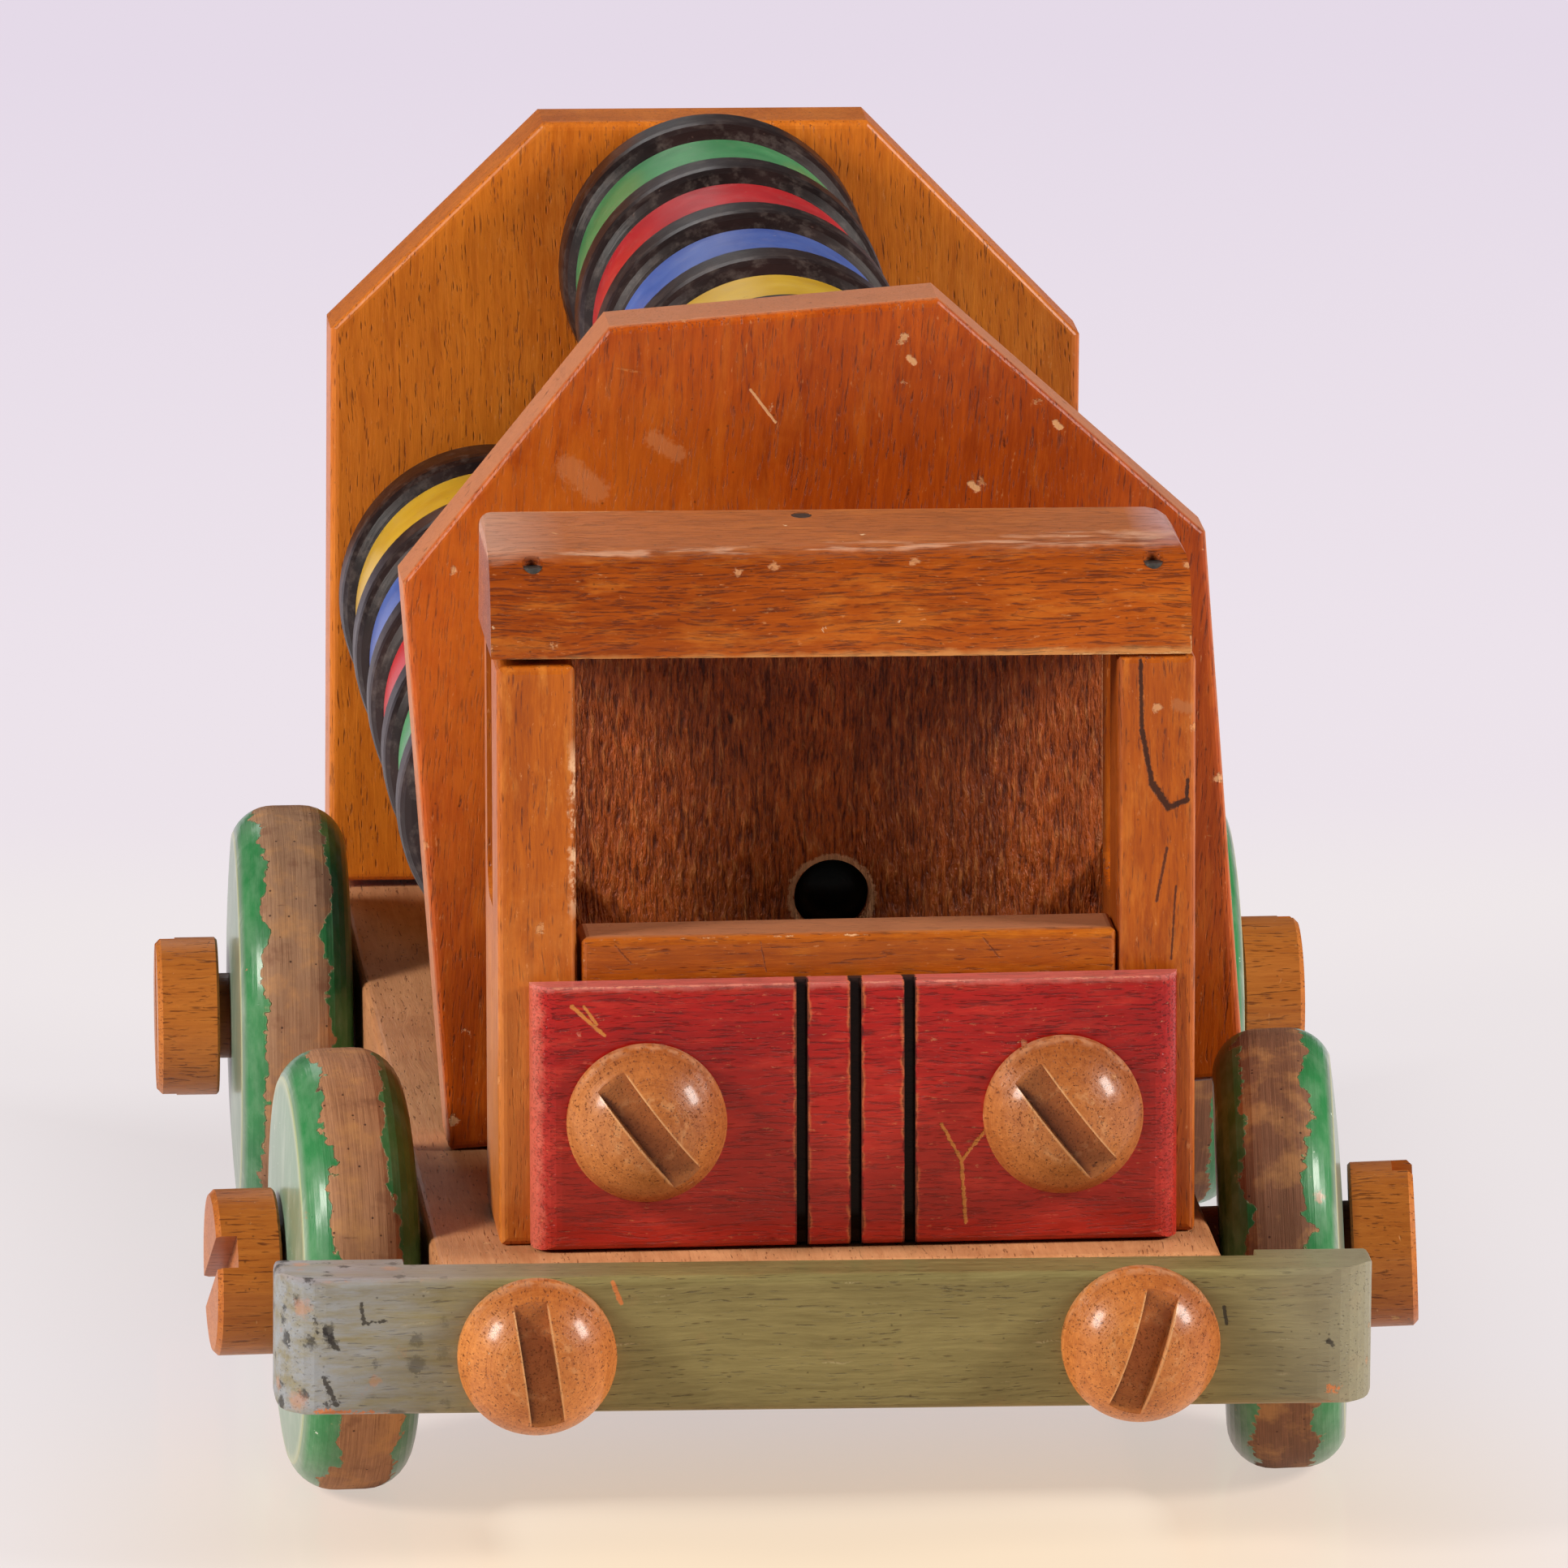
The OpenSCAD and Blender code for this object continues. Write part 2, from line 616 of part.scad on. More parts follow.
// Front panel between the side boards
module cab_front_panel() {
  color("peru") on_truck() difference() {
    translate([cab_in_x0 + panel_gap, cab_y0, deck_top])
      board([cab_in_x1 - cab_in_x0 - panel_gap, panel_t, panel_h]);
    for (x = headlight_xs)
      translate([x, cab_y0, headlight_z]) facing_front() shank_hole(dome_shank_d, headlight_grip);
    at_deck_nails() nail_hole(deck_t + nail_bite);
  }
}

// Back wall between the side boards, with the hole for the peg
module cab_back_wall() {
  color("sienna") on_truck() difference() {
    translate([cab_in_x0, wall_y0, deck_top]) cube([cab_in_x1 - cab_in_x0, wall_t, cab_h]);
    translate([peg_x, wall_y0, peg_z]) facing_front() shank_hole(peg_d, wall_t + cut);
    at_roof_nails() nail_hole(roof_t + nail_bite);
  }
}

// Peg with a round end, from the back wall into the front plate
module cab_peg() {
  l = front_plate_y0 + peg_grip - wall_y0 - peg_recess;
  end_r = peg_d;
  end_a = acos(peg_d / 2 / end_r);
  color("darkslategray") on_truck() translate([peg_x, wall_y0 + peg_recess, peg_z]) facing_front()
    rotate_extrude() polygon(concat([[0, -l], [peg_d / 2, -l]], arc(0, -end_r, end_r, end_a, 90, 8)));
}

// Roof block, curved over from the front to the flat back
module roof() {
  side = concat(
    bend([0, 0], [roof_nose_back, roof_nose_h], [roof_bend, roof_bend_h]),
    [[cab_depth, roof_t], [cab_depth, 0]]
  );
  front = round_rect(roof_w, roof_t, crisp_r, roof_end_r[0], roof_end_r[1]);
  color("sienna") on_truck() difference() {
    translate([roof_hinge_x, cab_y0, cab_top]) rotate([0, roof_tilt, 0])
      translate([roof_off - roof_w / 2 - roof_hinge_x, 0, 0]) intersection() {
        along_x(roof_w) polygon(side);
        along_y(cab_depth) polygon(front);
      }
    at_roof_nails() nail_hole(roof_t + cut);
  }
}

module roof_nails() {
  color("dimgray") on_truck() at_roof_nails() nail(roof_t + nail_bite / 2);
}

module deck_nails() {
  color("dimgray") on_truck() at_deck_nails() nail(deck_t + nail_bite);
}

// All that lies below the cut at one upper corner of a plate, with eased edges along the cut
module below_corner_cut(side, w, h, cut_w, cut_h) {
  reach = w + h;
  translate([side * (w - cut_w) / 2, 0, h - cut_h / 2]) rotate([0, side * atan2(cut_h, cut_w), 0])
    translate([-reach / 2, 0, -reach])
      along_x(reach) polygon(round_rect(plate_t, reach, cut_edge_r, cut_edge_r, cut_edge_r));
}

// Upright plate with cut upper corners, standing on its lower edge, which may be turned
module plate(w, h, cut_w, cut_h, turn) {
  lift = w / 2 * abs(sin(turn));
  translate([0, 0, deck_top + lift]) rotate([0, -turn, 0]) intersection() {
    translate([-w / 2, 0, 0]) board([w, plate_t, h]);
    below_corner_cut(LEFT, w, h, cut_w[0], cut_h[0]);
    below_corner_cut(RIGHT, w, h, cut_w[1], cut_h[1]);
  }
}

// Where the rods sit in both plates
module rod_holes() {
  for (a = roller_axes) translate([a.x, rear_plate_y0 + rod_grip, a[1]]) facing_front()
    cylinder(d = rod_d + 2 * drive_fit, h = bed_l + 2 * rod_grip);
}

module front_plate() {
  color("sienna") on_truck() difference() {
    translate([front_plate_off, front_plate_y0, 0])
      plate(front_plate_w, front_plate_h, front_cut_w, front_cut_h, front_plate_turn);
    translate([peg_x, front_plate_y0, peg_z]) facing_front() shank_hole(peg_d, peg_grip);
    rod_holes();
    at_deck_nails() nail_hole(deck_t + nail_bite);
  }
}

module rear_plate() {
  color("sienna") on_truck() difference() {
    translate([rear_plate_off, rear_plate_y0, 0])
      plate(rear_plate_w, rear_plate_h, rear_cut_w, rear_cut_h, rear_plate_turn);
    rod_holes();
    at_deck_nails() nail_hole(deck_t + nail_bite);
  }
}

// Rollers
module rod(i) {
  a = roller_axes[i];
  color("saddlebrown") on_truck() translate([a.x, rear_plate_y0 + rod_grip, a[1]]) facing_front()
    cylinder(d = rod_d, h = bed_l + 2 * rod_grip);
}

// A turned disc on the roller's rod, its rear face a distance from the roller's rear end
module roller_disc(i, start, d, t, edge) {
  bore_r = rod_d / 2 + run_fit;
  profile = concat(
    [[bore_r, 0]], arc(d / 2 - edge, edge, edge, -90, 0, 5),
    arc(d / 2 - edge, t - edge, edge, 0, 90, 5), [[bore_r, t]]
  );
  on_truck() translate([roller_axes[i].x, roller_y1 - start, roller_axes[i][1]]) facing_front()
    rotate_extrude() polygon(profile);
}

module black_discs(i) {
  color("darkslategray") for (k = [0:len(BANDS)])
    roller_disc(i, k * band_pitch, disc_d, disc_t, disc_edge_r);
}

// The right roller carries its coloured discs the other way round
module colour_disc(i, b) {
  k = ROLLERS[i] == "right" ? len(BANDS) - 1 - b : b;
  color(BANDS[b]) roller_disc(i, disc_t + k * band_pitch, ring_d, ring_t, ring_edge_r);
}

deck();
bumper();
bumper_screws();
axle_screws();
wheel(0);  // wheel_front_left
wheel(1);  // wheel_front_right
wheel(2);  // wheel_rear_left
wheel(3);  // wheel_rear_right
cab_side(cab_in_x1);  // cab_side_left
cab_side(cab_x0);  // cab_side_right
cab_front_panel();
cab_back_wall();
cab_peg();
roof();
roof_nails();
grille_block();
headlight_screws();
front_plate();
rear_plate();
deck_nails();
for (i = [0:len(ROLLERS) - 1]) {
  rod(i);
  black_discs(i);
  for (b = [0:len(BANDS) - 1])
    colour_disc(i, b);
}
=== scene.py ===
import json
import math

import bpy
import numpy as np
from mathutils import Matrix, Vector

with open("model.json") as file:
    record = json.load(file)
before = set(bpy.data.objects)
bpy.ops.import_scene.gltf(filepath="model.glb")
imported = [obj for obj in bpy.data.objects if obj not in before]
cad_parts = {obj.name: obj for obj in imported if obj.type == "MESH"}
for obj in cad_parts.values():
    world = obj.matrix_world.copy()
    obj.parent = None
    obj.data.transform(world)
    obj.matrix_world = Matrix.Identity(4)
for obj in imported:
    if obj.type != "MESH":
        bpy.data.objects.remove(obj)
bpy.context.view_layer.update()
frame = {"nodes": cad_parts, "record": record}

MM = 0.001
NODES = frame["nodes"]
SHINE = 0.22  # specular level of every finish, below that of glass, because all of them are old and dusty

# How the two plates stand on the deck, in degrees, and the corners cut off them, in millimetres:
# width and height of the upper left cut, then of the upper right one
FRONT_PLATE_TURN, REAR_PLATE_TURN = 4.15, -0.6
FRONT_PLATE_CUTS = ((34.3, 36.0), (30.9, 32.8))
REAR_PLATE_CUTS = ((31.2, 31.8), (30.5, 30.1))
BUMPER_TURN = -0.6
# Places that finishes follow, in millimetres from the middle of their piece: the grille's saw grooves, half the
# width of a screw's slot, the hole in the back wall, the bend between the roof's front and top, the crease where a
# wheel's rim meets its face, and the inner end of an axle screw's head, counted in from its outer end
GROOVES = (-7.25, 0.0, 7.25)
SLOT_SIDE = 2.2
HOLE_X, HOLE_Z, HOLE_RADIUS = -0.4, 2.7, 4.9
ROOF_BEND = 5.7
WHEEL_SHOULDER = 7.55
AXLE_HEAD_INNER = -9.5


def dye(red, green, blue):
    """A colour as it looks, 0 to 255 a channel, made ready for a shader."""
    def straight(channel):
        share = channel / 255
        return share / 12.92 if share <= 0.04045 else ((share + 0.055) / 1.055) ** 2.4
    return (straight(red), straight(green), straight(blue), 1.0)


# ---- wiring of shader nodes

class Wiring:
    """Adds nodes to one shader tree and joins them up."""

    def __init__(self, tree):
        self.tree = tree

    def feed(self, socket, value):
        if isinstance(value, bpy.types.NodeSocket):
            self.tree.links.new(value, socket)
        else:
            socket.default_value = value

    def add(self, kind, values=None, **settings):
        node = self.tree.nodes.new(kind)
        for name, value in settings.items():
            setattr(node, name, value)
        for name, value in (values or {}).items():
            self.feed(node.inputs[name], value)
        return node

    def sum(self, operation, *values, clamp=False):
        node = self.add("ShaderNodeMath", dict(enumerate(values)), operation=operation, use_clamp=clamp)
        return node.outputs[0]

    def plus(self, first, second):
        return self.sum("ADD", first, second)

    def minus(self, first, second):
        return self.sum("SUBTRACT", first, second)

    def times(self, first, second):
        return self.sum("MULTIPLY", first, second)

    def ratio(self, first, second, clamp=False):
        return self.sum("DIVIDE", first, second, clamp=clamp)

    def least(self, first, second):
        return self.sum("MINIMUM", first, second)

    def most(self, first, second):
        return self.sum("MAXIMUM", first, second)

    def above(self, first, second):
        return self.sum("GREATER_THAN", first, second)

    def size(self, value):
        """The value without its sign."""
        return self.sum("ABSOLUTE", value)

    def steer(self, operation, *values):
        """A sum of whole vectors."""
        node = self.add("ShaderNodeVectorMath", dict(enumerate(values)), operation=operation)
        return node.outputs["Value" if operation in ("DOT_PRODUCT", "LENGTH") else "Vector"]

    def fade(self, value, start, end, low=0.0, high=1.0, soft=False):
        """low where the value is start or before it, high where it is end or past it."""
        node = self.add("ShaderNodeMapRange", {0: value, 1: start, 2: end, 3: low, 4: high},
                        interpolation_type="SMOOTHSTEP" if soft else "LINEAR")
        return node.outputs[0]

    def mix(self, share, under, over, blend="MIX"):
        node = self.add("ShaderNodeMix", {0: share, 6: under, 7: over}, data_type="RGBA", blend_type=blend)
        return node.outputs[2]

    def blend(self, share, under, over):
        """The same for plain numbers."""
        node = self.add("ShaderNodeMix", {0: share, 2: under, 3: over}, data_type="FLOAT")
        return node.outputs[0]

    def noise(self, place, scale=1.0, detail=2.0, rough=0.5, coloured=False):
        node = self.add("ShaderNodeTexNoise",
                        {"Vector": place, "Scale": scale, "Detail": detail, "Roughness": rough})
        return node.outputs[1 if coloured else 0]

    def wander(self, place, scale, spread, **rest):
        """Noise to either side of zero."""
        return self.times(self.minus(self.noise(place, scale, **rest), 0.5), spread)

    def cells(self, place, scale=1.0):
        return self.add("ShaderNodeTexVoronoi", {"Vector": place, "Scale": scale}).outputs

    def stretch(self, place, across, up, along, shift=(0.0, 0.0, 0.0)):
        node = self.add("ShaderNodeMapping", {"Vector": place, "Scale": (across, up, along), "Location": shift})
        return node.outputs[0]

    def parts(self, place):
        return self.add("ShaderNodeSeparateXYZ", {0: place}).outputs

    def join(self, x, y, z):
        return self.add("ShaderNodeCombineXYZ", {0: x, 1: y, 2: z}).outputs[0]

    def group(self, name, values):
        return self.add("ShaderNodeGroup", values, node_tree=bpy.data.node_groups[name]).outputs


SOCKETS = {"number": "NodeSocketFloat", "colour": "NodeSocketColor", "vector": "NodeSocketVector"}


def start_group(name, takes, gives):
    """A node group with named inputs and outputs, each given as name=kind."""
    tree = bpy.data.node_groups.new(name, "ShaderNodeTree")
    for label, kind in takes.items():
        tree.interface.new_socket(label, in_out="INPUT", socket_type=SOCKETS[kind])
    for label, kind in gives.items():
        tree.interface.new_socket(label, in_out="OUTPUT", socket_type=SOCKETS[kind])
    wires = Wiring(tree)
    return wires, wires.add("NodeGroupInput").outputs, wires.add("NodeGroupOutput").inputs


# ---- effects that several finishes share; places are in millimetres

def make_beech_grain():
    """Beech with its short dark flecks; the grain runs along Z."""
    w, given, out = start_group(
        "Beech grain",
        {"Place": "vector", "Light": "colour", "Dark": "colour", "Fleck": "colour", "Flecks": "number",
         "Seed": "number"},
        {"Colour": "colour", "Height": "number", "Flecked": "number"})
    shift = w.join(given["Seed"], w.times(given["Seed"], 3.7), w.times(given["Seed"], 1.9))
    place = w.steer("ADD", given["Place"], shift)
    sway = w.steer("MULTIPLY", w.steer("SUBTRACT", w.noise(w.stretch(place, 0.12, 0.12, 0.05), coloured=True),
                                       (0.5, 0.5, 0.5)), (2.4, 2.4, 0.0))
    place = w.steer("ADD", place, sway)
    broad = w.noise(w.stretch(place, 0.05, 0.05, 0.008), detail=2)
    streak = w.noise(w.stretch(place, 1.1, 1.1, 0.05), detail=4, rough=0.66)
    fine = w.noise(w.stretch(place, 4.2, 4.2, 0.3), detail=3, rough=0.6)
    tone = w.plus(w.times(broad, 0.8), w.times(streak, 0.8))
    tone = w.plus(tone, w.times(fine, 0.45))
    wood = w.mix(w.fade(tone, 0.72, 1.28), given["Dark"], given["Light"])
    hairs = w.noise(w.stretch(place, 3.1, 3.1, 0.2, (7.0, 3.0, 1.0)), detail=3, rough=0.62)
    limit = w.minus(0.68, w.times(given["Flecks"], 0.14))
    ticks = w.fade(hairs, limit, w.plus(limit, 0.07))
    long = w.cells(w.stretch(place, 1.9, 1.9, 0.34))
    kept = w.above(w.plus(w.parts(long[1])[0], w.times(given["Flecks"], 0.6)), 1.0)
    dashes = w.times(w.fade(long[0], 0.27, 0.1), kept)
    flecked = w.most(w.times(dashes, 0.75), w.times(ticks, 0.85))
    w.feed(out["Colour"], w.mix(w.times(flecked, 0.8), wood, given["Fleck"]))
    w.feed(out["Flecked"], flecked)
    w.feed(out["Height"], w.minus(w.plus(w.times(streak, 0.5),
                                                  w.times(fine, 0.35)), flecked))


def make_board_edges():
    """How far a place on a square-cornered piece is from its nearest edge."""
    w, given, out = start_group("Board edges", {"Place": "vector", "Half": "vector"}, {"Distance": "number"})
    gaps = w.parts(w.steer("SUBTRACT", given["Half"], w.steer("ABSOLUTE", given["Place"])))
    low = w.least(gaps[0], gaps[1])
    high = w.most(gaps[0], gaps[1])
    w.feed(out["Distance"], w.most(low, w.least(high, gaps[2])))


def make_plate_edges():
    """The same for a plate with two cut corners, and how far the place is inside the plate's rim."""
    w, given, out = start_group(
        "Plate edges",
        {"Place": "vector", "Half": "vector", "Left cut": "vector", "Left reach": "number",
         "Right cut": "vector", "Right reach": "number"},
        {"Distance": "number", "Rim": "number"})
    gaps = w.parts(w.steer("SUBTRACT", given["Half"], w.steer("ABSOLUTE", given["Place"])))
    left = w.minus(given["Left reach"], w.steer("DOT_PRODUCT", given["Place"], given["Left cut"]))
    right = w.minus(given["Right reach"], w.steer("DOT_PRODUCT", given["Place"], given["Right cut"]))
    outline = w.least(w.least(gaps[0], gaps[2]), w.least(left, right))
    w.feed(out["Distance"], w.most(gaps[1], outline))
    w.feed(out["Rim"], gaps[1])


def make_worn_edge():
    """Where the finish is rubbed and chipped off near an edge."""
    w, given, out = start_group(
        "Worn edge", {"Place": "vector", "Distance": "number", "Width": "number", "Rag": "number"},
        {"Bare": "number", "Rubbed": "number"})
    reach = w.fade(w.noise(given["Place"], 0.11, detail=4, rough=0.7), 0.38, 0.66, 0.25, 1.9)
    nibble = w.wander(given["Place"], 1.6, given["Rag"], detail=4, rough=0.7)
    gap = w.plus(given["Distance"], nibble)
    limit = w.times(given["Width"], reach)
    w.feed(out["Bare"], w.fade(w.minus(gap, limit), 0.06, -0.06))
    w.feed(out["Rubbed"], w.fade(w.minus(gap, w.times(limit, 3.5)), 1.2, -1.2, soft=True))


def make_nicks():
    """Scattered small dents and chips of uneven shape."""
    w, given, out = start_group(
        "Nicks", {"Place": "vector", "Spacing": "number", "Size": "number", "Amount": "number", "Seed": "number"},
        {"Mask": "number", "Tone": "number"})
    place = w.steer("ADD", given["Place"], w.join(given["Seed"], given["Seed"], given["Seed"]))
    warp = w.steer("SUBTRACT", w.noise(place, 1.1, detail=3, rough=0.7, coloured=True), (0.5, 0.5, 0.5))
    place = w.steer("ADD", place, w.steer("MULTIPLY", warp, (2.2, 2.2, 2.2)))
    found = w.cells(place, w.ratio(1.0, given["Spacing"]))
    draw = w.parts(found[1])
    size = w.times(w.ratio(given["Size"], given["Spacing"]), w.fade(draw[1], 0.0, 1.0, 0.35, 1.0))
    kept = w.above(w.plus(draw[0], given["Amount"]), 1.0)
    spot = w.fade(found[0], size, w.times(size, 0.6))
    w.feed(out["Mask"], w.times(spot, kept))
    w.feed(out["Tone"], draw[2])


def make_scratches():
    """Fine scratches, mostly along Z."""
    w, given, out = start_group(
        "Scratches", {"Place": "vector", "Length": "number", "Width": "number", "Amount": "number"},
        {"Mask": "number"})
    warp = w.steer("MULTIPLY", w.steer("SUBTRACT", w.noise(given["Place"], 0.16, detail=2, coloured=True),
                                       (0.5, 0.5, 0.5)), (3.0, 3.0, 3.0))
    place = w.steer("ADD", given["Place"], warp)
    thin = w.ratio(0.14, given["Width"])
    shrunk = w.steer("MULTIPLY", place, w.join(thin, thin, w.ratio(0.45, given["Length"])))
    found = w.cells(shrunk)
    kept = w.above(w.plus(w.parts(found[1])[0], given["Amount"]), 1.0)
    broken = w.fade(w.noise(given["Place"], 2.2, detail=2), 0.36, 0.52)
    line = w.times(w.fade(found[0], 0.14, 0.05), kept)
    w.feed(out["Mask"], w.times(line, broken))


def make_stroke():
    """One mark drawn from a point to another, with a ragged outline."""
    w, given, out = start_group(
        "Stroke", {"Place": "vector", "From": "vector", "To": "vector", "Width": "number", "Nibble": "number",
                   "Rag": "number"},
        {"Mask": "number"})
    offset = w.steer("SUBTRACT", given["Place"], given["From"])
    run = w.steer("SUBTRACT", given["To"], given["From"])
    share = w.ratio(w.steer("DOT_PRODUCT", offset, run), w.steer("DOT_PRODUCT", run, run), clamp=True)
    near = w.steer("MULTIPLY", run, w.join(share, share, share))
    away = w.steer("LENGTH", w.steer("SUBTRACT", offset, near))
    gap = w.plus(away, w.times(given["Nibble"], given["Rag"]))
    w.feed(out["Mask"], w.fade(w.ratio(gap, given["Width"]), 0.62, 0.38))


def make_turned_place():
    """Radius and distance along of a place on a turned piece whose axis is X, and a seamless way round."""
    w, given, out = start_group(
        "Turned place", {"Place": "vector"},
        {"Radius": "number", "Along": "number", "Round": "vector"})
    parts = w.parts(given["Place"])
    flat = w.join(0.0, parts[1], parts[2])
    radius = w.steer("LENGTH", flat)
    w.feed(out["Radius"], radius)
    w.feed(out["Along"], parts[0])
    facing = w.steer("NORMALIZE", flat)
    w.feed(out["Round"], facing)


def make_chipped_paint():
    """Paint that is flaked off where Inside is below zero, in millimetres from the paint's edge."""
    w, given, out = start_group(
        "Chipped paint", {"Place": "vector", "Inside": "number", "Rag": "number", "Flakes": "number"},
        {"Paint": "number", "Lip": "number"})
    lobes = w.minus(w.noise(given["Place"], 0.13, detail=2, rough=0.55), 0.5)
    teeth = w.minus(w.noise(given["Place"], 0.55, detail=3, rough=0.62), 0.5)
    crumbs = w.minus(w.cells(given["Place"], 0.9)[0], 0.45)
    edge = w.plus(given["Inside"], w.times(w.times(lobes, 9.0), given["Rag"]))
    edge = w.plus(edge, w.times(w.times(teeth, 3.0), given["Rag"]))
    edge = w.plus(edge, w.times(crumbs, 0.9))
    flakes = w.noise(given["Place"], 0.42, detail=4, rough=0.75)
    lost = w.fade(flakes, w.minus(0.74, given["Flakes"]), w.minus(0.76, given["Flakes"]))
    edge = w.minus(edge, w.times(lost, 9.0))
    w.feed(out["Paint"], w.fade(edge, -0.05, 0.05))
    w.feed(out["Lip"], w.fade(w.size(edge), 0.22, 0.04))


def make_grime():
    """Soft dark patches and fine specks."""
    w, given, out = start_group("Grime", {"Place": "vector", "Amount": "number"},
                                {"Mask": "number", "Specks": "number"})
    patch = w.noise(given["Place"], 0.07, detail=5, rough=0.62)
    w.feed(out["Mask"], w.fade(patch, w.minus(0.72, given["Amount"]), 0.8))
    found = w.cells(given["Place"], 0.8)
    kept = w.above(w.plus(w.parts(found[1])[0], w.times(given["Amount"], 0.6)), 1.0)
    w.feed(out["Specks"], w.times(w.fade(found[0], 0.17, 0.1), kept))


# ---- starting and closing a finish

def measure(node, turn=0.0):
    """Centre in metres and half size in millimetres of a node, square to its own faces."""
    spin = Matrix.Rotation(math.radians(turn), 3, "Y")
    points = np.array([v.co for v in NODES[node].data.vertices]) @ np.array(spin)
    low, high = points.min(0), points.max(0)
    return spin @ Vector((low + high) / 2), Vector((high - low) / 2 / MM)


def start_finish(name):
    """A new material with its wiring and its one surface shader."""
    material = bpy.data.materials.new(name)
    material.use_nodes = True
    material.node_tree.nodes.clear()
    wires = Wiring(material.node_tree)
    shader = wires.add("ShaderNodeBsdfPrincipled")
    surface = wires.add("ShaderNodeOutputMaterial")
    wires.feed(surface.inputs[0], shader.outputs[0])
    return material, wires, shader


def piece_place(wires, centre=(0.0, 0.0, 0.0), turn=0.0):
    """Millimetres from a piece's centre, square to its faces."""
    here = wires.add("ShaderNodeTexCoord").outputs["Object"]
    node = wires.add("ShaderNodeMapping",
                     {"Vector": here, "Location": tuple(centre), "Rotation": (0, math.radians(turn), 0),
                      "Scale": (MM, MM, MM)}, vector_type="TEXTURE")
    return node.outputs[0]


def turn_grain(wires, place, grain):
    """The same place with the grain's direction brought to Z."""
    if grain == "Z":
        return place
    x, y, z = wires.parts(place)[:]
    return wires.join(y, z, x) if grain == "X" else wires.join(z, x, y)


def close_finish(wires, shader, colour, rough, height, depth=0.1, coat=0.0, coat_rough=0.25):
    wires.feed(shader.inputs["Base Color"], colour)
    wires.feed(shader.inputs["Roughness"], rough)
    wires.feed(shader.inputs["Coat Weight"], coat)
    shader.inputs["Coat Roughness"].default_value = coat_rough
    shader.inputs["Specular IOR Level"].default_value = SHINE
    bump = wires.add("ShaderNodeBump", {"Height": height, "Distance": depth * MM, "Strength": 1.0})
    wires.feed(shader.inputs["Normal"], bump.outputs[0])


def dress(material, *nodes):
    for node in nodes:
        for place in NODES[node].material_slots:
            place.material = material


def on_front(y, *marks):
    """Marks on an upright face at y, each given as (from x, from z, to x, to z, width, rag)."""
    return [((x, y, z), (x2, y, z2), width, rag) for x, z, x2, z2, width, rag in marks]


def strokes(wires, place, marks):
    """One mask of several drawn marks, each (from, to, width, rag)."""
    nibble = wires.minus(wires.noise(place, 1.8, detail=3, rough=0.7), 0.5)
    total = None
    for start, end, width, rag in marks:
        mask = wires.group("Stroke", {"Place": place, "From": start, "To": end, "Width": width, "Nibble": nibble,
                                      "Rag": rag})[0]
        total = mask if total is None else wires.most(total, mask)
    return total


# ---- varnished boards

PALE_EDGE, FLECK = dye(226, 176, 128), dye(86, 30, 6)
# tint for the inner faces of the cab sides: painted shade inside the cab
INNER_FACE_SHADE = (0.42, 0.34, 0.3, 1.0)


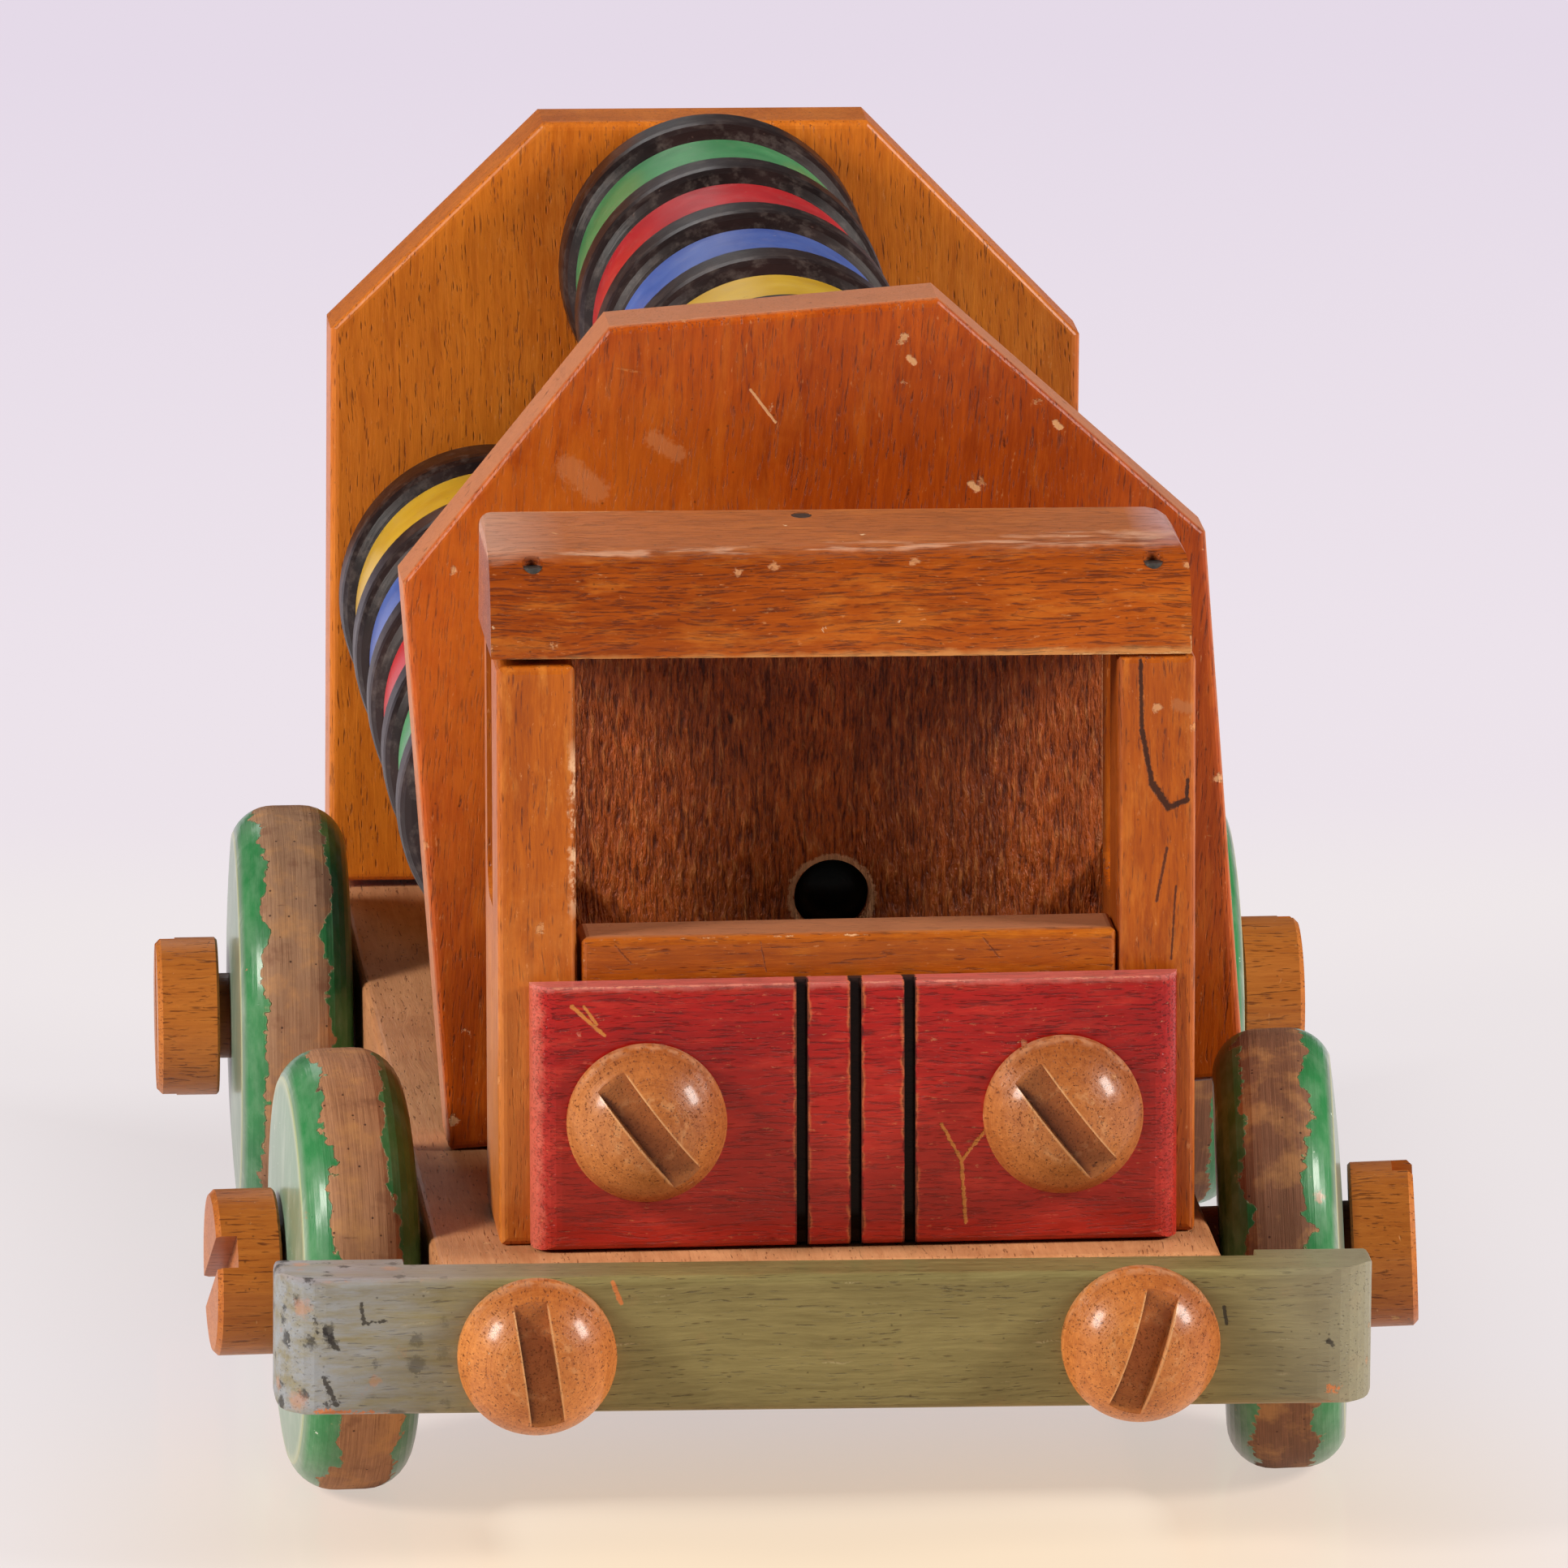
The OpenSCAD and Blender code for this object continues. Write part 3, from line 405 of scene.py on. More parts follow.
class Board:
    """A varnished board's finish, open for marks of its own until it is closed."""

    def __init__(self, name, node, grain, light, dark, wear=0.5, flecks=0.55, seed=0.0, turn=0.0, cuts=None,
                 bare=PALE_EDGE, nicks=0.3, fleck=FLECK):
        self.material, self.wires, self.shader = start_finish(name)
        w = self.wires
        centre, self.half = measure(node, turn)
        self.place = piece_place(w, centre, turn)
        self.shifted = w.steer("ADD", self.place, (seed, seed, seed))
        self.x, self.y, self.z = w.parts(self.place)[:]
        wood = w.group("Beech grain", {"Place": turn_grain(w, self.place, grain), "Light": light, "Dark": dark,
                                       "Fleck": fleck, "Flecks": flecks, "Seed": seed})
        self.colour, self.height = wood["Colour"], wood["Height"]
        self.edges = self.edge_distance(cuts)
        worn = w.group("Worn edge", {"Place": self.shifted, "Distance": self.edges["Distance"], "Width": wear,
                                     "Rag": 1.6 * wear + 0.5})
        chips = w.group("Nicks", {"Place": self.place, "Spacing": 6.0, "Size": 0.9, "Amount": nicks, "Seed": seed})
        self.colour = w.mix(w.times(worn["Rubbed"], 0.1), self.colour, dye(214, 132, 66))
        self.bare = w.most(worn["Bare"], chips["Mask"])
        tone = w.mix(chips["Tone"], bare, dye(196, 132, 84))
        self.colour = w.mix(w.times(self.bare, 0.8), self.colour, tone)
        self.height = w.minus(self.height, self.bare)
        self.rough = w.blend(self.bare, w.fade(self.height, -1.0, 1.0, 0.5, 0.36), 0.66)

    def edge_distance(self, cuts):
        w = self.wires
        if cuts is None:
            return w.group("Board edges", {"Place": self.place, "Half": tuple(self.half)})
        values = {"Place": self.place, "Half": tuple(self.half)}
        for side, name, (cut_w, cut_h) in zip((1, -1), ("Left", "Right"), cuts):
            facing = Vector((side * cut_h, 0, cut_w)).normalized()
            middle = Vector((side * (self.half.x - cut_w / 2), 0, self.half.z - cut_h / 2))
            values[name + " cut"] = tuple(facing)
            values[name + " reach"] = facing.dot(middle)
        return w.group("Plate edges", values)

    def stain(self, mask, colour, share=1.0, rough=None):
        """Lays a colour over the board where the mask says."""
        w = self.wires
        amount = w.times(mask, share)
        self.colour = w.mix(amount, self.colour, colour)
        if rough is not None:
            self.rough = w.blend(amount, self.rough, rough)

    def deepen(self, mask, share=1.0, tint=(0.35, 0.2, 0.14, 1.0)):
        """Darkens the board where the mask says, for dirt and soaked stains and, in some places, painted shade."""
        w = self.wires
        self.colour = w.mix(w.times(mask, share), self.colour, tint, blend="MULTIPLY")

    def sink(self, mask, depth):
        w = self.wires
        self.height = w.minus(self.height, w.times(mask, depth))

    def scratched(self, grain, length, width, amount, colour, share=0.7, depth=0.4):
        """Fine scratches that run mostly along the grain."""
        w = self.wires
        mask = w.group("Scratches", {"Place": turn_grain(w, self.shifted, grain), "Length": length, "Width": width,
                                     "Amount": amount})[0]
        self.stain(mask, colour, share)
        self.sink(mask, depth)

    def nicked(self, spacing, size, amount, seed, colour, share=0.9, depth=0.6, where=1.0):
        """Chips and specks of their own colour."""
        w = self.wires
        mask = w.group("Nicks", {"Place": self.place, "Spacing": spacing, "Size": size, "Amount": amount,
                                 "Seed": seed})["Mask"]
        mask = w.times(mask, where)
        self.stain(mask, colour, share, 0.62)
        self.sink(mask, depth)

    def marked(self, marks, colour, share=0.9, depth=0.6):
        """Marks drawn one by one."""
        mask = strokes(self.wires, self.place, marks)
        self.stain(mask, colour, share, 0.6)
        self.sink(mask, depth)

    def patch(self, x, y, z, radii, soft=0.6):
        """A soft patch round a point, for stains and for painted shade; a radius of None has no limit that way."""
        w = self.wires
        total = 0.0
        for here, middle, radius in zip((self.x, self.y, self.z), (x, y, z), radii):
            if radius is not None:
                gap = w.ratio(w.minus(here, middle), radius)
                total = w.plus(total, w.times(gap, gap))
        wander = w.wander(self.shifted, 0.2, 2.2, detail=4, rough=0.65)
        return w.fade(w.plus(w.sum("SQRT", total), wander), 1.0 + soft, 1.0 - soft, soft=True)

    def mottle(self, grain, light, share=0.4, dark=0.45):
        """Streaky patches where the varnish is thin or has gone dark."""
        w = self.wires
        along = turn_grain(w, self.shifted, grain)
        thin = w.noise(w.stretch(along, 0.3, 0.3, 0.07), detail=5, rough=0.72)
        self.stain(w.fade(thin, 0.52, 0.66), light, share)
        deep = w.noise(w.stretch(along, 0.42, 0.42, 0.09, (5.0, 9.0, 2.0)), detail=5, rough=0.72)
        self.deepen(w.fade(deep, 0.52, 0.66), dark, (0.62, 0.46, 0.34, 1.0))
        scuffs = w.noise(w.stretch(along, 1.5, 1.5, 0.5, (3.0, 1.0, 8.0)), detail=4, rough=0.7)
        self.stain(w.fade(scuffs, 0.64, 0.7), dye(224, 160, 104), share * 0.9, 0.6)

    def grime(self, amount, share=0.5, specks=0.5):
        w = self.wires
        dirt = w.group("Grime", {"Place": self.shifted, "Amount": amount})
        self.deepen(dirt["Mask"], share, (0.45, 0.33, 0.27, 1.0))
        self.stain(dirt["Specks"], dye(40, 22, 14), specks)

    def close(self, *nodes, depth=0.1, coat=0.25, coat_rough=0.3):
        w = self.wires
        coat = w.times(w.minus(1.0, self.bare), coat)
        close_finish(w, self.shader, self.colour, self.rough, self.height, depth, coat, coat_rough)
        dress(self.material, *nodes)


def finish_front_plate():
    b = Board("front plate, varnished beech", "front_plate", "Z", dye(190, 84, 12), dye(138, 48, 2), wear=0.3,
              flecks=0.66, seed=11, turn=FRONT_PLATE_TURN, cuts=FRONT_PLATE_CUTS, nicks=0.3)
    w = b.wires
    b.mottle("Z", dye(206, 108, 28), 0.4, 0.4)
    b.stain(b.patch(-34, None, 10, (22, None, 34)), dye(206, 108, 28), 0.5)
    b.deepen(b.patch(6, None, 30, (34, None, 24)), 0.6, (0.7, 0.56, 0.4, 1.0))
    # painted shade at the bottom left of the plate
    b.deepen(b.patch(-28, None, -40, (20, None, 10)), 0.3, (0.7, 0.6, 0.6, 1.0))
    b.scratched("Z", 5.0, 0.3, 0.3, dye(74, 24, 6), 0.8)
    b.scratched("X", 9.0, 0.16, 0.16, dye(206, 136, 78), 0.5)
    b.marked(on_front(-6, (-38.6, 35.1, -34.5, 31.9, 3.2, 3), (-27.3, 39.6, -23.8, 37.6, 2.2, 2.5)),
             dye(196, 122, 74), 0.45, 0.1)
    b.marked(on_front(-6, (-14.5, 47.1, -10.8, 42.8, 0.35, 0.3), (16.5, 35.7, 17.4, 35, 0.9, 0.8),
                      (6.8, 52.7, 7.5, 52.1, 0.8, 0.6), (27.4, 44.8, 28.1, 44.2, 0.8, 0.7),
                      (-49.8, 36.2, -49.1, 35.5, 0.8, 0.6)), dye(222, 164, 112))
    rim = w.fade(b.edges["Rim"], 0.35, 0.9)
    b.stain(rim, dye(198, 136, 98), 0.62, 0.6)
    b.nicked(3.0, 0.7, 0.3, 9, dye(104, 58, 32), 0.7, where=rim)
    b.grime(0.16, 0.35, 0.5)
    b.close("front_plate", coat=0.12)


def finish_rear_plate():
    b = Board("rear plate, varnished beech", "rear_plate", "Z", dye(214, 120, 32), dye(172, 84, 14), wear=0.22,
              flecks=0.5, seed=37, turn=REAR_PLATE_TURN, cuts=REAR_PLATE_CUTS, nicks=0.12)
    b.mottle("Z", dye(226, 138, 54), 0.25, 0.3)
    b.scratched("Z", 4.0, 0.22, 0.16, dye(112, 54, 22), 0.5)
    b.grime(0.14, 0.3, 0.3)
    b.close("rear_plate", coat=0.12)


def finish_left_side():
    b = Board("left cab side, varnished beech", "cab_side_left", "Z", dye(192, 98, 14), dye(146, 62, 4),
              wear=0.2, flecks=0.5, seed=5, nicks=0.36)
    w = b.wires
    b.mottle("Z", dye(212, 126, 44), 0.4, 0.5)
    b.scratched("Z", 4.0, 0.25, 0.24, dye(96, 40, 10), 0.7)
    # painted shade: the inner face of the side darkened
    b.deepen(w.fade(b.x, -b.half.x + 0.7, -b.half.x + 0.2), 0.85, INNER_FACE_SHADE)
    b.deepen(b.patch(-1, -12.9, 31, (3.6, 3, 11)), 0.35, (0.7, 0.5, 0.35, 1.0))
    b.marked(on_front(-12.9, (-2.2, 39.2, -2, 29.4, 0.55, 0.5), (-2, 29.4, -0.6, 22.1, 0.7, 0.6),
                      (-0.6, 22.1, 1.6, 18.8, 1.0, 0.8), (1.6, 18.8, 4.1, 19.8, 0.8, 0.7),
                      (4, 19.8, 4.2, 22.6, 0.5, 0.5)), dye(34, 12, 4), 0.9)
    b.marked(on_front(-12.9, (1.4, 13.2, 0, 6, 0.4, 0.4), (2.6, 8, 2, -2, 0.3, 0.3)), dye(70, 26, 8), 0.85)
    b.marked(on_front(-12.9, (2.7, 32.9, 4.3, 32.4, 1.6, 1.5)), dye(172, 104, 60), 0.7, 0.1)
    b.marked(on_front(-11.4, (-4.4, 19.4, -4.4, 17.4, 1.3, 1.4), (-4.4, 11.1, -4.4, 5.8, 1.3, 1.6)),
             dye(232, 190, 152), 0.8, 0.3)
    b.grime(0.14, 0.35, 0.4)
    b.close("cab_side_left", coat=0.18)


def finish_right_side():
    b = Board("right cab side, varnished beech", "cab_side_right", "Z", dye(192, 100, 16), dye(148, 66, 6),
              wear=0.22, flecks=0.45, seed=23, nicks=0.3)
    w = b.wires
    b.mottle("Z", dye(218, 136, 54), 0.5, 0.45)
    b.stain(b.patch(None, None, -20, (None, None, 22)), dye(216, 138, 64), 0.35)
    b.scratched("Z", 4.0, 0.22, 0.2, dye(104, 44, 12), 0.6)
    # painted shade: the inner face of the side darkened
    b.deepen(w.fade(b.x, b.half.x - 0.7, b.half.x - 0.2), 0.85, INNER_FACE_SHADE)
    inner = w.times(w.fade(w.plus(b.x, w.times(w.noise(b.place, 1.4, detail=3), 1.6)),
                                     b.half.x - 0.4, b.half.x + 0.2), w.fade(b.z, 4.0, 9.0))
    inner = w.times(inner, w.fade(b.y, -b.half.y + 1.6, -b.half.y + 0.9))
    inner = w.times(inner, w.fade(w.noise(b.shifted, 0.45, detail=4, rough=0.7), 0.42, 0.54))
    b.stain(w.times(inner, w.fade(b.z, 30.0, 26.0)), dye(236, 196, 156), 0.7, 0.7)
    b.grime(0.14, 0.35, 0.4)
    b.close("cab_side_right", coat=0.18)


def finish_front_panel():
    b = Board("dash panel, varnished beech", "cab_front_panel", "X", dye(178, 90, 10), dye(130, 56, 4),
              wear=0.25, flecks=0.5, seed=61, nicks=0.26)
    w = b.wires
    b.mottle("X", dye(204, 120, 30), 0.4, 0.4)
    on_top = w.times(w.fade(b.z, b.half.z - 1.0, b.half.z - 0.2),
                   w.fade(b.y, -b.half.y + 0.4, -b.half.y + 1.2))
    b.stain(on_top, dye(160, 108, 78), 0.75, 0.7)
    b.marked(on_front(-5, (-31.6, 20.2, -29.4, 17.6, 0.22, 0.5), (-12, 20.4, -11.2, 16, 0.2, 0.5),
                      (17.4, 20.9, 20.2, 17.3, 0.22, 0.5)), dye(92, 40, 10), 0.6)
    b.grime(0.16, 0.35, 0.4)
    b.close("cab_front_panel", coat=0.18)


def finish_back_wall():
    b = Board("back wall, rough sawn", "cab_back_wall", "Z", dye(206, 100, 34), dye(112, 44, 10), wear=0.05,
              flecks=0.8, seed=71, nicks=0.0)
    w = b.wires
    sway = w.times(w.noise(w.stretch(b.shifted, 0.5, 1.0, 0.3), detail=2), 1.6)
    fibre = w.noise(w.join(w.plus(w.times(b.x, 1.5), sway), 7.0, w.times(b.z, 0.24)), detail=4, rough=0.62)
    b.stain(w.fade(fibre, 0.54, 0.66), dye(228, 140, 74), 0.65)
    b.deepen(w.fade(fibre, 0.47, 0.37), 0.9, (0.4, 0.28, 0.2, 1.0))
    b.height = w.plus(b.height, w.times(fibre, 4.0))
    b.scratched("Z", 5.0, 0.5, 0.5, dye(198, 120, 66), 0.6, depth=-0.8)
    b.scratched("Z", 4.0, 0.5, 0.45, dye(52, 18, 4), 0.8)
    # painted shadow: the top middle of the wall darkened, under the roof
    b.deepen(b.patch(0, None, 40, (26, None, 20), 0.5), 0.55, (0.5, 0.4, 0.34, 1.0))
    away = w.steer("LENGTH", w.join(w.minus(b.x, HOLE_X), 0.0, w.minus(b.z, HOLE_Z)))
    ragged = w.plus(away, w.wander(b.place, 1.3, 1.6, detail=4, rough=0.7))
    ring = w.times(w.fade(ragged, HOLE_RADIUS, HOLE_RADIUS + 0.3),
                   w.fade(ragged, HOLE_RADIUS + 1.2, HOLE_RADIUS + 0.9))
    b.stain(ring, dye(240, 176, 124), 0.9, 0.8)
    b.close("cab_back_wall", depth=0.7, coat=0.0)


def finish_roof():
    b = Board("roof, varnished beech", "roof", "X", dye(176, 84, 18), dye(122, 48, 4), wear=0.25,
              flecks=0.9, seed=43, nicks=0.3)
    w = b.wires
    b.mottle("X", dye(200, 116, 40), 0.4, 0.45)
    b.scratched("X", 3.5, 0.3, 0.55, dye(78, 26, 6), 0.8)
    wander = w.wander(b.shifted, 0.35, 1.6, detail=4)
    top = w.fade(w.plus(b.z, wander), 4.9, 6.2)
    b.stain(top, dye(188, 116, 66), 0.5, 0.6)
    # painted sheen: a pale, pinkish tint over both ends of the roof's top
    b.stain(w.times(top, w.fade(b.x, -36.0, -46.0)), dye(222, 190, 176), 0.3)
    b.stain(w.times(top, w.fade(b.x, 40.0, 45.0)), dye(206, 178, 190), 0.45)
    bend = w.fade(w.size(w.minus(w.plus(b.z, w.times(wander, 0.4)), ROOF_BEND)), 0.4, 0.1)
    b.stain(w.times(bend, w.fade(w.noise(w.stretch(b.place, 0.09, 0.5, 0.5), detail=4), 0.48, 0.56)),
            dye(228, 178, 146), 0.5)
    b.marked([((-15.1, -1.3, 7.9), (-10.2, -1.8, 7.9), 0.7, 0.8),
              ((-29.7, -6.5, 7.9), (-25.3, -6.4, 7.9), 0.5, 0.6)], dye(228, 178, 146), 0.75, 0.2)
    b.marked(on_front(-12.9, (-43.2, 4.3, -42.8, 4, 0.7, 0.5), (-35.5, 2.5, -35, 2.3, 0.6, 0.5),
                      (-31.6, 3, -31, 2.8, 0.7, 0.6), (-33.2, -1.7, -32.2, -2.3, 1.3, 1.2),
                      (-22.3, -2, -21.7, -2.2, 0.8, 0.7), (39.7, 3, 40.4, 2.3, 1.2, 1.2),
                      (12.8, 0.5, 13.9, 0.4, 0.5, 0.4)), dye(240, 212, 178), 0.9)
    b.nicked(3.4, 0.55, 0.2, 77, dye(236, 200, 160), 0.8)
    b.stain(w.times(w.fade(w.plus(b.z, wander), -6.6, -7.4), w.fade(b.y, -10.0, -12.0)),
            dye(216, 160, 96), 0.5)
    b.grime(0.15, 0.35, 0.5)
    b.close("roof", coat=0.15)


def finish_deck():
    b = Board("deck, dry beech", "deck", "Y", dye(214, 156, 110), dye(182, 122, 80), wear=0.25,
              flecks=0.4, seed=3, nicks=0.2)
    w = b.wires
    b.grime(0.3, 0.5, 0.6)
    b.scratched("Y", 10.0, 0.3, 0.3, dye(120, 74, 46), 0.6)
    sides = w.fade(w.size(b.x), b.half.x - 1.4, b.half.x - 0.4)
    b.deepen(sides, 0.3, (0.7, 0.55, 0.45, 1.0))
    b.close("deck", coat=0.0)


def finish_grille():
    b = Board("grille, red paint", "grille_block", "X", dye(180, 22, 14), dye(132, 6, 6), wear=0.14,
              flecks=0.9, seed=19, nicks=0.12, bare=dye(214, 130, 104), fleck=dye(92, 10, 12))
    w = b.wires
    low = w.fade(b.z, 12.0, -8.0, soft=True)
    b.stain(low, dye(180, 56, 40), 0.45)
    b.rough = w.blend(low, 0.22, 0.42)
    b.scratched("X", 5.0, 0.26, 0.55, dye(214, 96, 74), 0.55)
    b.scratched("X", 4.0, 0.26, 0.5, dye(84, 4, 8), 0.7)
    b.mottle("X", dye(214, 66, 48), 0.35, 0.4)
    wander = w.wander(b.shifted, 0.5, 3.4, detail=5, rough=0.7)
    # worn paint and a painted highlight: a paler band along the rounded left edge
    left_wear_and_highlight = w.fade(w.plus(b.x, wander), -b.half.x + 1.9, -b.half.x + 0.6)
    b.stain(left_wear_and_highlight, dye(222, 128, 104), 0.45, 0.5)
    top_band = w.fade(w.plus(b.z, w.times(wander, 0.4)), b.half.z - 0.9, b.half.z - 0.2)
    b.stain(top_band, dye(224, 140, 132), 0.4, 0.55)
    # painted shadow: darker red to the right of and above each headlight screw
    for x in (-24.0, 29.4):
        b.deepen(b.patch(x + 8, None, 7, (12, None, 12), 0.5), 0.35, (0.6, 0.45, 0.45, 1.0))
    b.marked(on_front(-2.5, (-38.1, 15.5, -33.8, 11.5, 0.5, 0.6), (-36.5, 15.5, -34.8, 13, 0.4, 0.4),
                      (11.5, -1.7, 14.2, -6.8, 0.45, 0.9), (17.5, -2.4, 14.2, -6.8, 0.45, 0.9),
                      (14.2, -6.8, 14.7, -15.2, 0.5, 0.9)), dye(206, 134, 60), 0.8)
    b.marked(on_front(-2.5, (-42.7, 16.1, -42.4, 15.5, 0.9, 0.7), (-43.4, 8.1, -43, 7.5, 0.9, 0.7)),
             dye(240, 216, 200), 0.9)
    saw = None
    for x in GROOVES:
        gap = w.plus(w.size(w.minus(b.x, x)), w.times(wander, 0.4))
        b.stain(w.times(w.fade(gap, 1.3, 1.0), w.fade(w.noise(b.shifted, 0.4, detail=3), 0.4, 0.55)),
                dye(196, 104, 60), 0.8, 0.7)
        inner = w.fade(gap, 1.0, 0.85)
        saw = inner if saw is None else w.most(saw, inner)
    b.stain(saw, dye(44, 12, 8), 0.7, 0.8)
    deep = w.fade(b.y, -b.half.y + 0.25, -b.half.y + 0.7)
    b.stain(w.times(saw, deep), dye(24, 8, 6), 0.9, 0.8)
    b.close("grille_block", coat=0.15, coat_rough=0.1)


def finish_bumper():
    b = Board("bumper, olive paint", "bumper", "X", dye(142, 130, 84), dye(106, 94, 56), wear=0.2,
              flecks=0.35, seed=29, nicks=0.12, bare=dye(188, 130, 88), fleck=dye(84, 70, 44), turn=BUMPER_TURN)
    w = b.wires
    b.scratched("X", 12.0, 0.25, 0.5, dye(186, 170, 130), 0.4)
    b.scratched("X", 9.0, 0.22, 0.3, dye(86, 74, 46), 0.45)
    left_end = w.fade(b.x, -40.0, -68.0, soft=True)
    cloud = w.fade(w.noise(w.stretch(b.shifted, 0.1, 0.4, 0.5), detail=5, rough=0.7), 0.34, 0.6, 0.25, 1.0)
    b.stain(w.times(left_end, cloud), dye(150, 158, 172), 0.7)
    b.stain(w.fade(b.x, 50.0, 72.0, soft=True), dye(146, 142, 126), 0.55)
    top = w.fade(b.z, b.half.z - 1.0, b.half.z - 0.2)
    b.stain(top, dye(150, 138, 140), 0.5)
    wander = w.wander(b.shifted, 0.6, 2.4, detail=5, rough=0.75)
    near = w.plus(b.edges["Distance"], wander)
    b.stain(w.times(w.fade(near, 0.5, 0.0), w.fade(w.noise(b.place, 0.2, detail=2), 0.42, 0.6)),
            dye(206, 128, 76), 0.8, 0.6)
    b.marked(on_front(-6.2, (-70, 9.2, -68.5, 3.8, 1.0, 2.2), (-67.4, 3.8, -65.9, 1.5, 0.8, 1.8),
                      (-67.5, -2.9, -66, -6.3, 0.8, 1.8), (-62.4, 7.4, -62.2, 4.7, 0.5, 1.0),
                      (-62.2, 4.7, -59.2, 4.9, 0.45, 1.0), (53.1, 3.2, 53.4, 0.9, 0.5, 0.4),
                      (67.2, -2, 67.8, -2.5, 0.8, 0.6), (34.7, -5.2, 41.2, -5.6, 0.25, 0.4)),
             dye(44, 38, 34), 0.85, 0.2)
    b.marked(on_front(-6.2, (-73.5, -6.8, -58.9, -8.3, 0.9, 2.2), (66.4, 9.2, 73, 9, 0.8, 1.8),
                      (67.4, -8.6, 72.9, -8.8, 1.1, 2.2), (-28.8, 9.2, -27.7, 6.4, 0.6, 0.5)),
             dye(204, 118, 62), 0.85, 0.3)
    b.nicked(3.0, 1.5, 0.42, 51, dye(40, 36, 36), 0.8, 0.1, where=w.plus(w.times(left_end, 0.9), 0.04))
    b.nicked(4.4, 2.0, 0.4, 21, dye(190, 130, 92), 0.6, 0.3, where=w.plus(w.times(left_end, 0.7), 0.06))
    b.grime(0.2, 0.35, 0.5)
    b.close("bumper", coat=0.1)


# ---- turned pieces

def finish_domed_screws(name, node, light, dark, seed, slot_angles):
    """Two waxed domes, mirrored about the node's middle: turning rings, a dusty rim, painted shade towards each
    dome's upper right, a painted highlight along the slot's edges and painted shade inside the slot.
    """
    b = Board(name, node, "Y", light, dark, wear=0.0, flecks=0.55, seed=seed, nicks=0.16)
    w = b.wires
    off = w.minus(b.x, w.times(w.sum("SIGN", b.x), b.half.x - b.half.z))
    away = w.steer("LENGTH", w.join(off, 0.0, b.z))
    radius = b.half.z
    rings = w.noise(w.join(away, w.times(w.noise(b.place, 0.12), 0.5), 0.0), 1.5, detail=4, rough=0.7)
    b.deepen(w.fade(rings, 0.48, 0.34), 0.55, (0.62, 0.48, 0.38, 1.0))
    b.stain(w.fade(rings, 0.58, 0.7), dye(218, 156, 94), 0.35)
    b.height = w.plus(b.height, w.times(rings, 0.8))
    # painted shade: each dome darkens towards its upper right and stays lighter at the lower left
    painted_shade_slope = w.plus(w.times(b.z, 0.8), w.times(off, 0.6))
    b.deepen(w.fade(painted_shade_slope, -2.0, radius * 0.9, soft=True), 0.8, (0.72, 0.58, 0.52, 1.0))
    right, left = (math.radians(angle) for angle in slot_angles)
    on_left = w.above(b.x, 0.0)
    across = w.plus(w.times(off, w.blend(on_left, math.cos(right), math.cos(left))),
                   w.times(b.z, w.blend(on_left, math.sin(right), math.sin(left))))
    gap = w.size(across)
    reached = w.fade(away, radius * 0.8, radius * 0.72)
    # painted highlight: pale lines along both edges of the slot
    edges = w.times(w.fade(gap, SLOT_SIDE - 0.1, SLOT_SIDE), w.fade(gap, SLOT_SIDE + 0.3, SLOT_SIDE + 0.1))
    b.stain(w.times(edges, reached), dye(232, 184, 130), 0.45)
    # painted shade inside the slot, and deeper painted shade along one of its walls
    b.stain(w.times(w.fade(gap, SLOT_SIDE, SLOT_SIDE - 0.1), reached), dye(150, 86, 36), 0.4)
    painted_slot_shade = w.times(w.fade(across, -1.3, -2.0), w.fade(gap, SLOT_SIDE + 0.02, SLOT_SIDE - 0.04))
    b.stain(w.times(painted_slot_shade, reached), dye(72, 34, 12), 0.6)
    b.scratched("X", 6.0, 0.18, 0.3, dye(232, 190, 150), 0.4)
    middle = w.times(w.fade(away, radius * 0.34, radius * 0.42), w.fade(away, radius * 0.52, radius * 0.44))
    b.stain(w.times(middle, w.fade(w.noise(b.place, 0.9, detail=4), 0.46, 0.6)), dye(226, 172, 118), 0.3)
    rim = w.times(w.fade(away, radius - 0.7, radius - 0.2), w.fade(b.z, 3.0, 7.0))
    b.stain(w.times(rim, w.fade(w.noise(b.place, 0.7, detail=4), 0.36, 0.56)), dye(220, 176, 140), 0.25, 0.7)
    b.nicked(4.0, 0.5, 0.3, seed + 4, dye(90, 44, 18), 0.7)
    return b


def finish_screws():
    finish_domed_screws("headlight screws, waxed wood", "headlight_screws", dye(196, 124, 66), dye(150, 84, 38),
                        7, (37.5, 37.5)).close("headlight_screws", coat=0.25, coat_rough=0.16)
    finish_domed_screws("bumper screws, waxed wood", "bumper_screws", dye(212, 136, 70), dye(166, 94, 42),
                        13, (8, -18)).close("bumper_screws", coat=0.25, coat_rough=0.16)
    b = Board("axle screws, waxed wood", "axle_screws", "X", dye(200, 120, 50), dye(164, 86, 28), wear=0.0,
              flecks=0.6, seed=17, nicks=0.16)
    w = b.wires
    inside = w.minus(w.size(b.x), b.half.x)
    b.deepen(w.fade(inside, AXLE_HEAD_INNER, AXLE_HEAD_INNER - 2.5), 0.9, (0.3, 0.18, 0.12, 1.0))
    b.scratched("Y", 3.0, 0.24, 0.35, dye(98, 50, 20), 0.6)
    b.scratched("Z", 3.0, 0.2, 0.3, dye(226, 168, 108), 0.4)
    b.grime(0.2, 0.4, 0.5)
    b.close("axle_screws", coat=0.12)


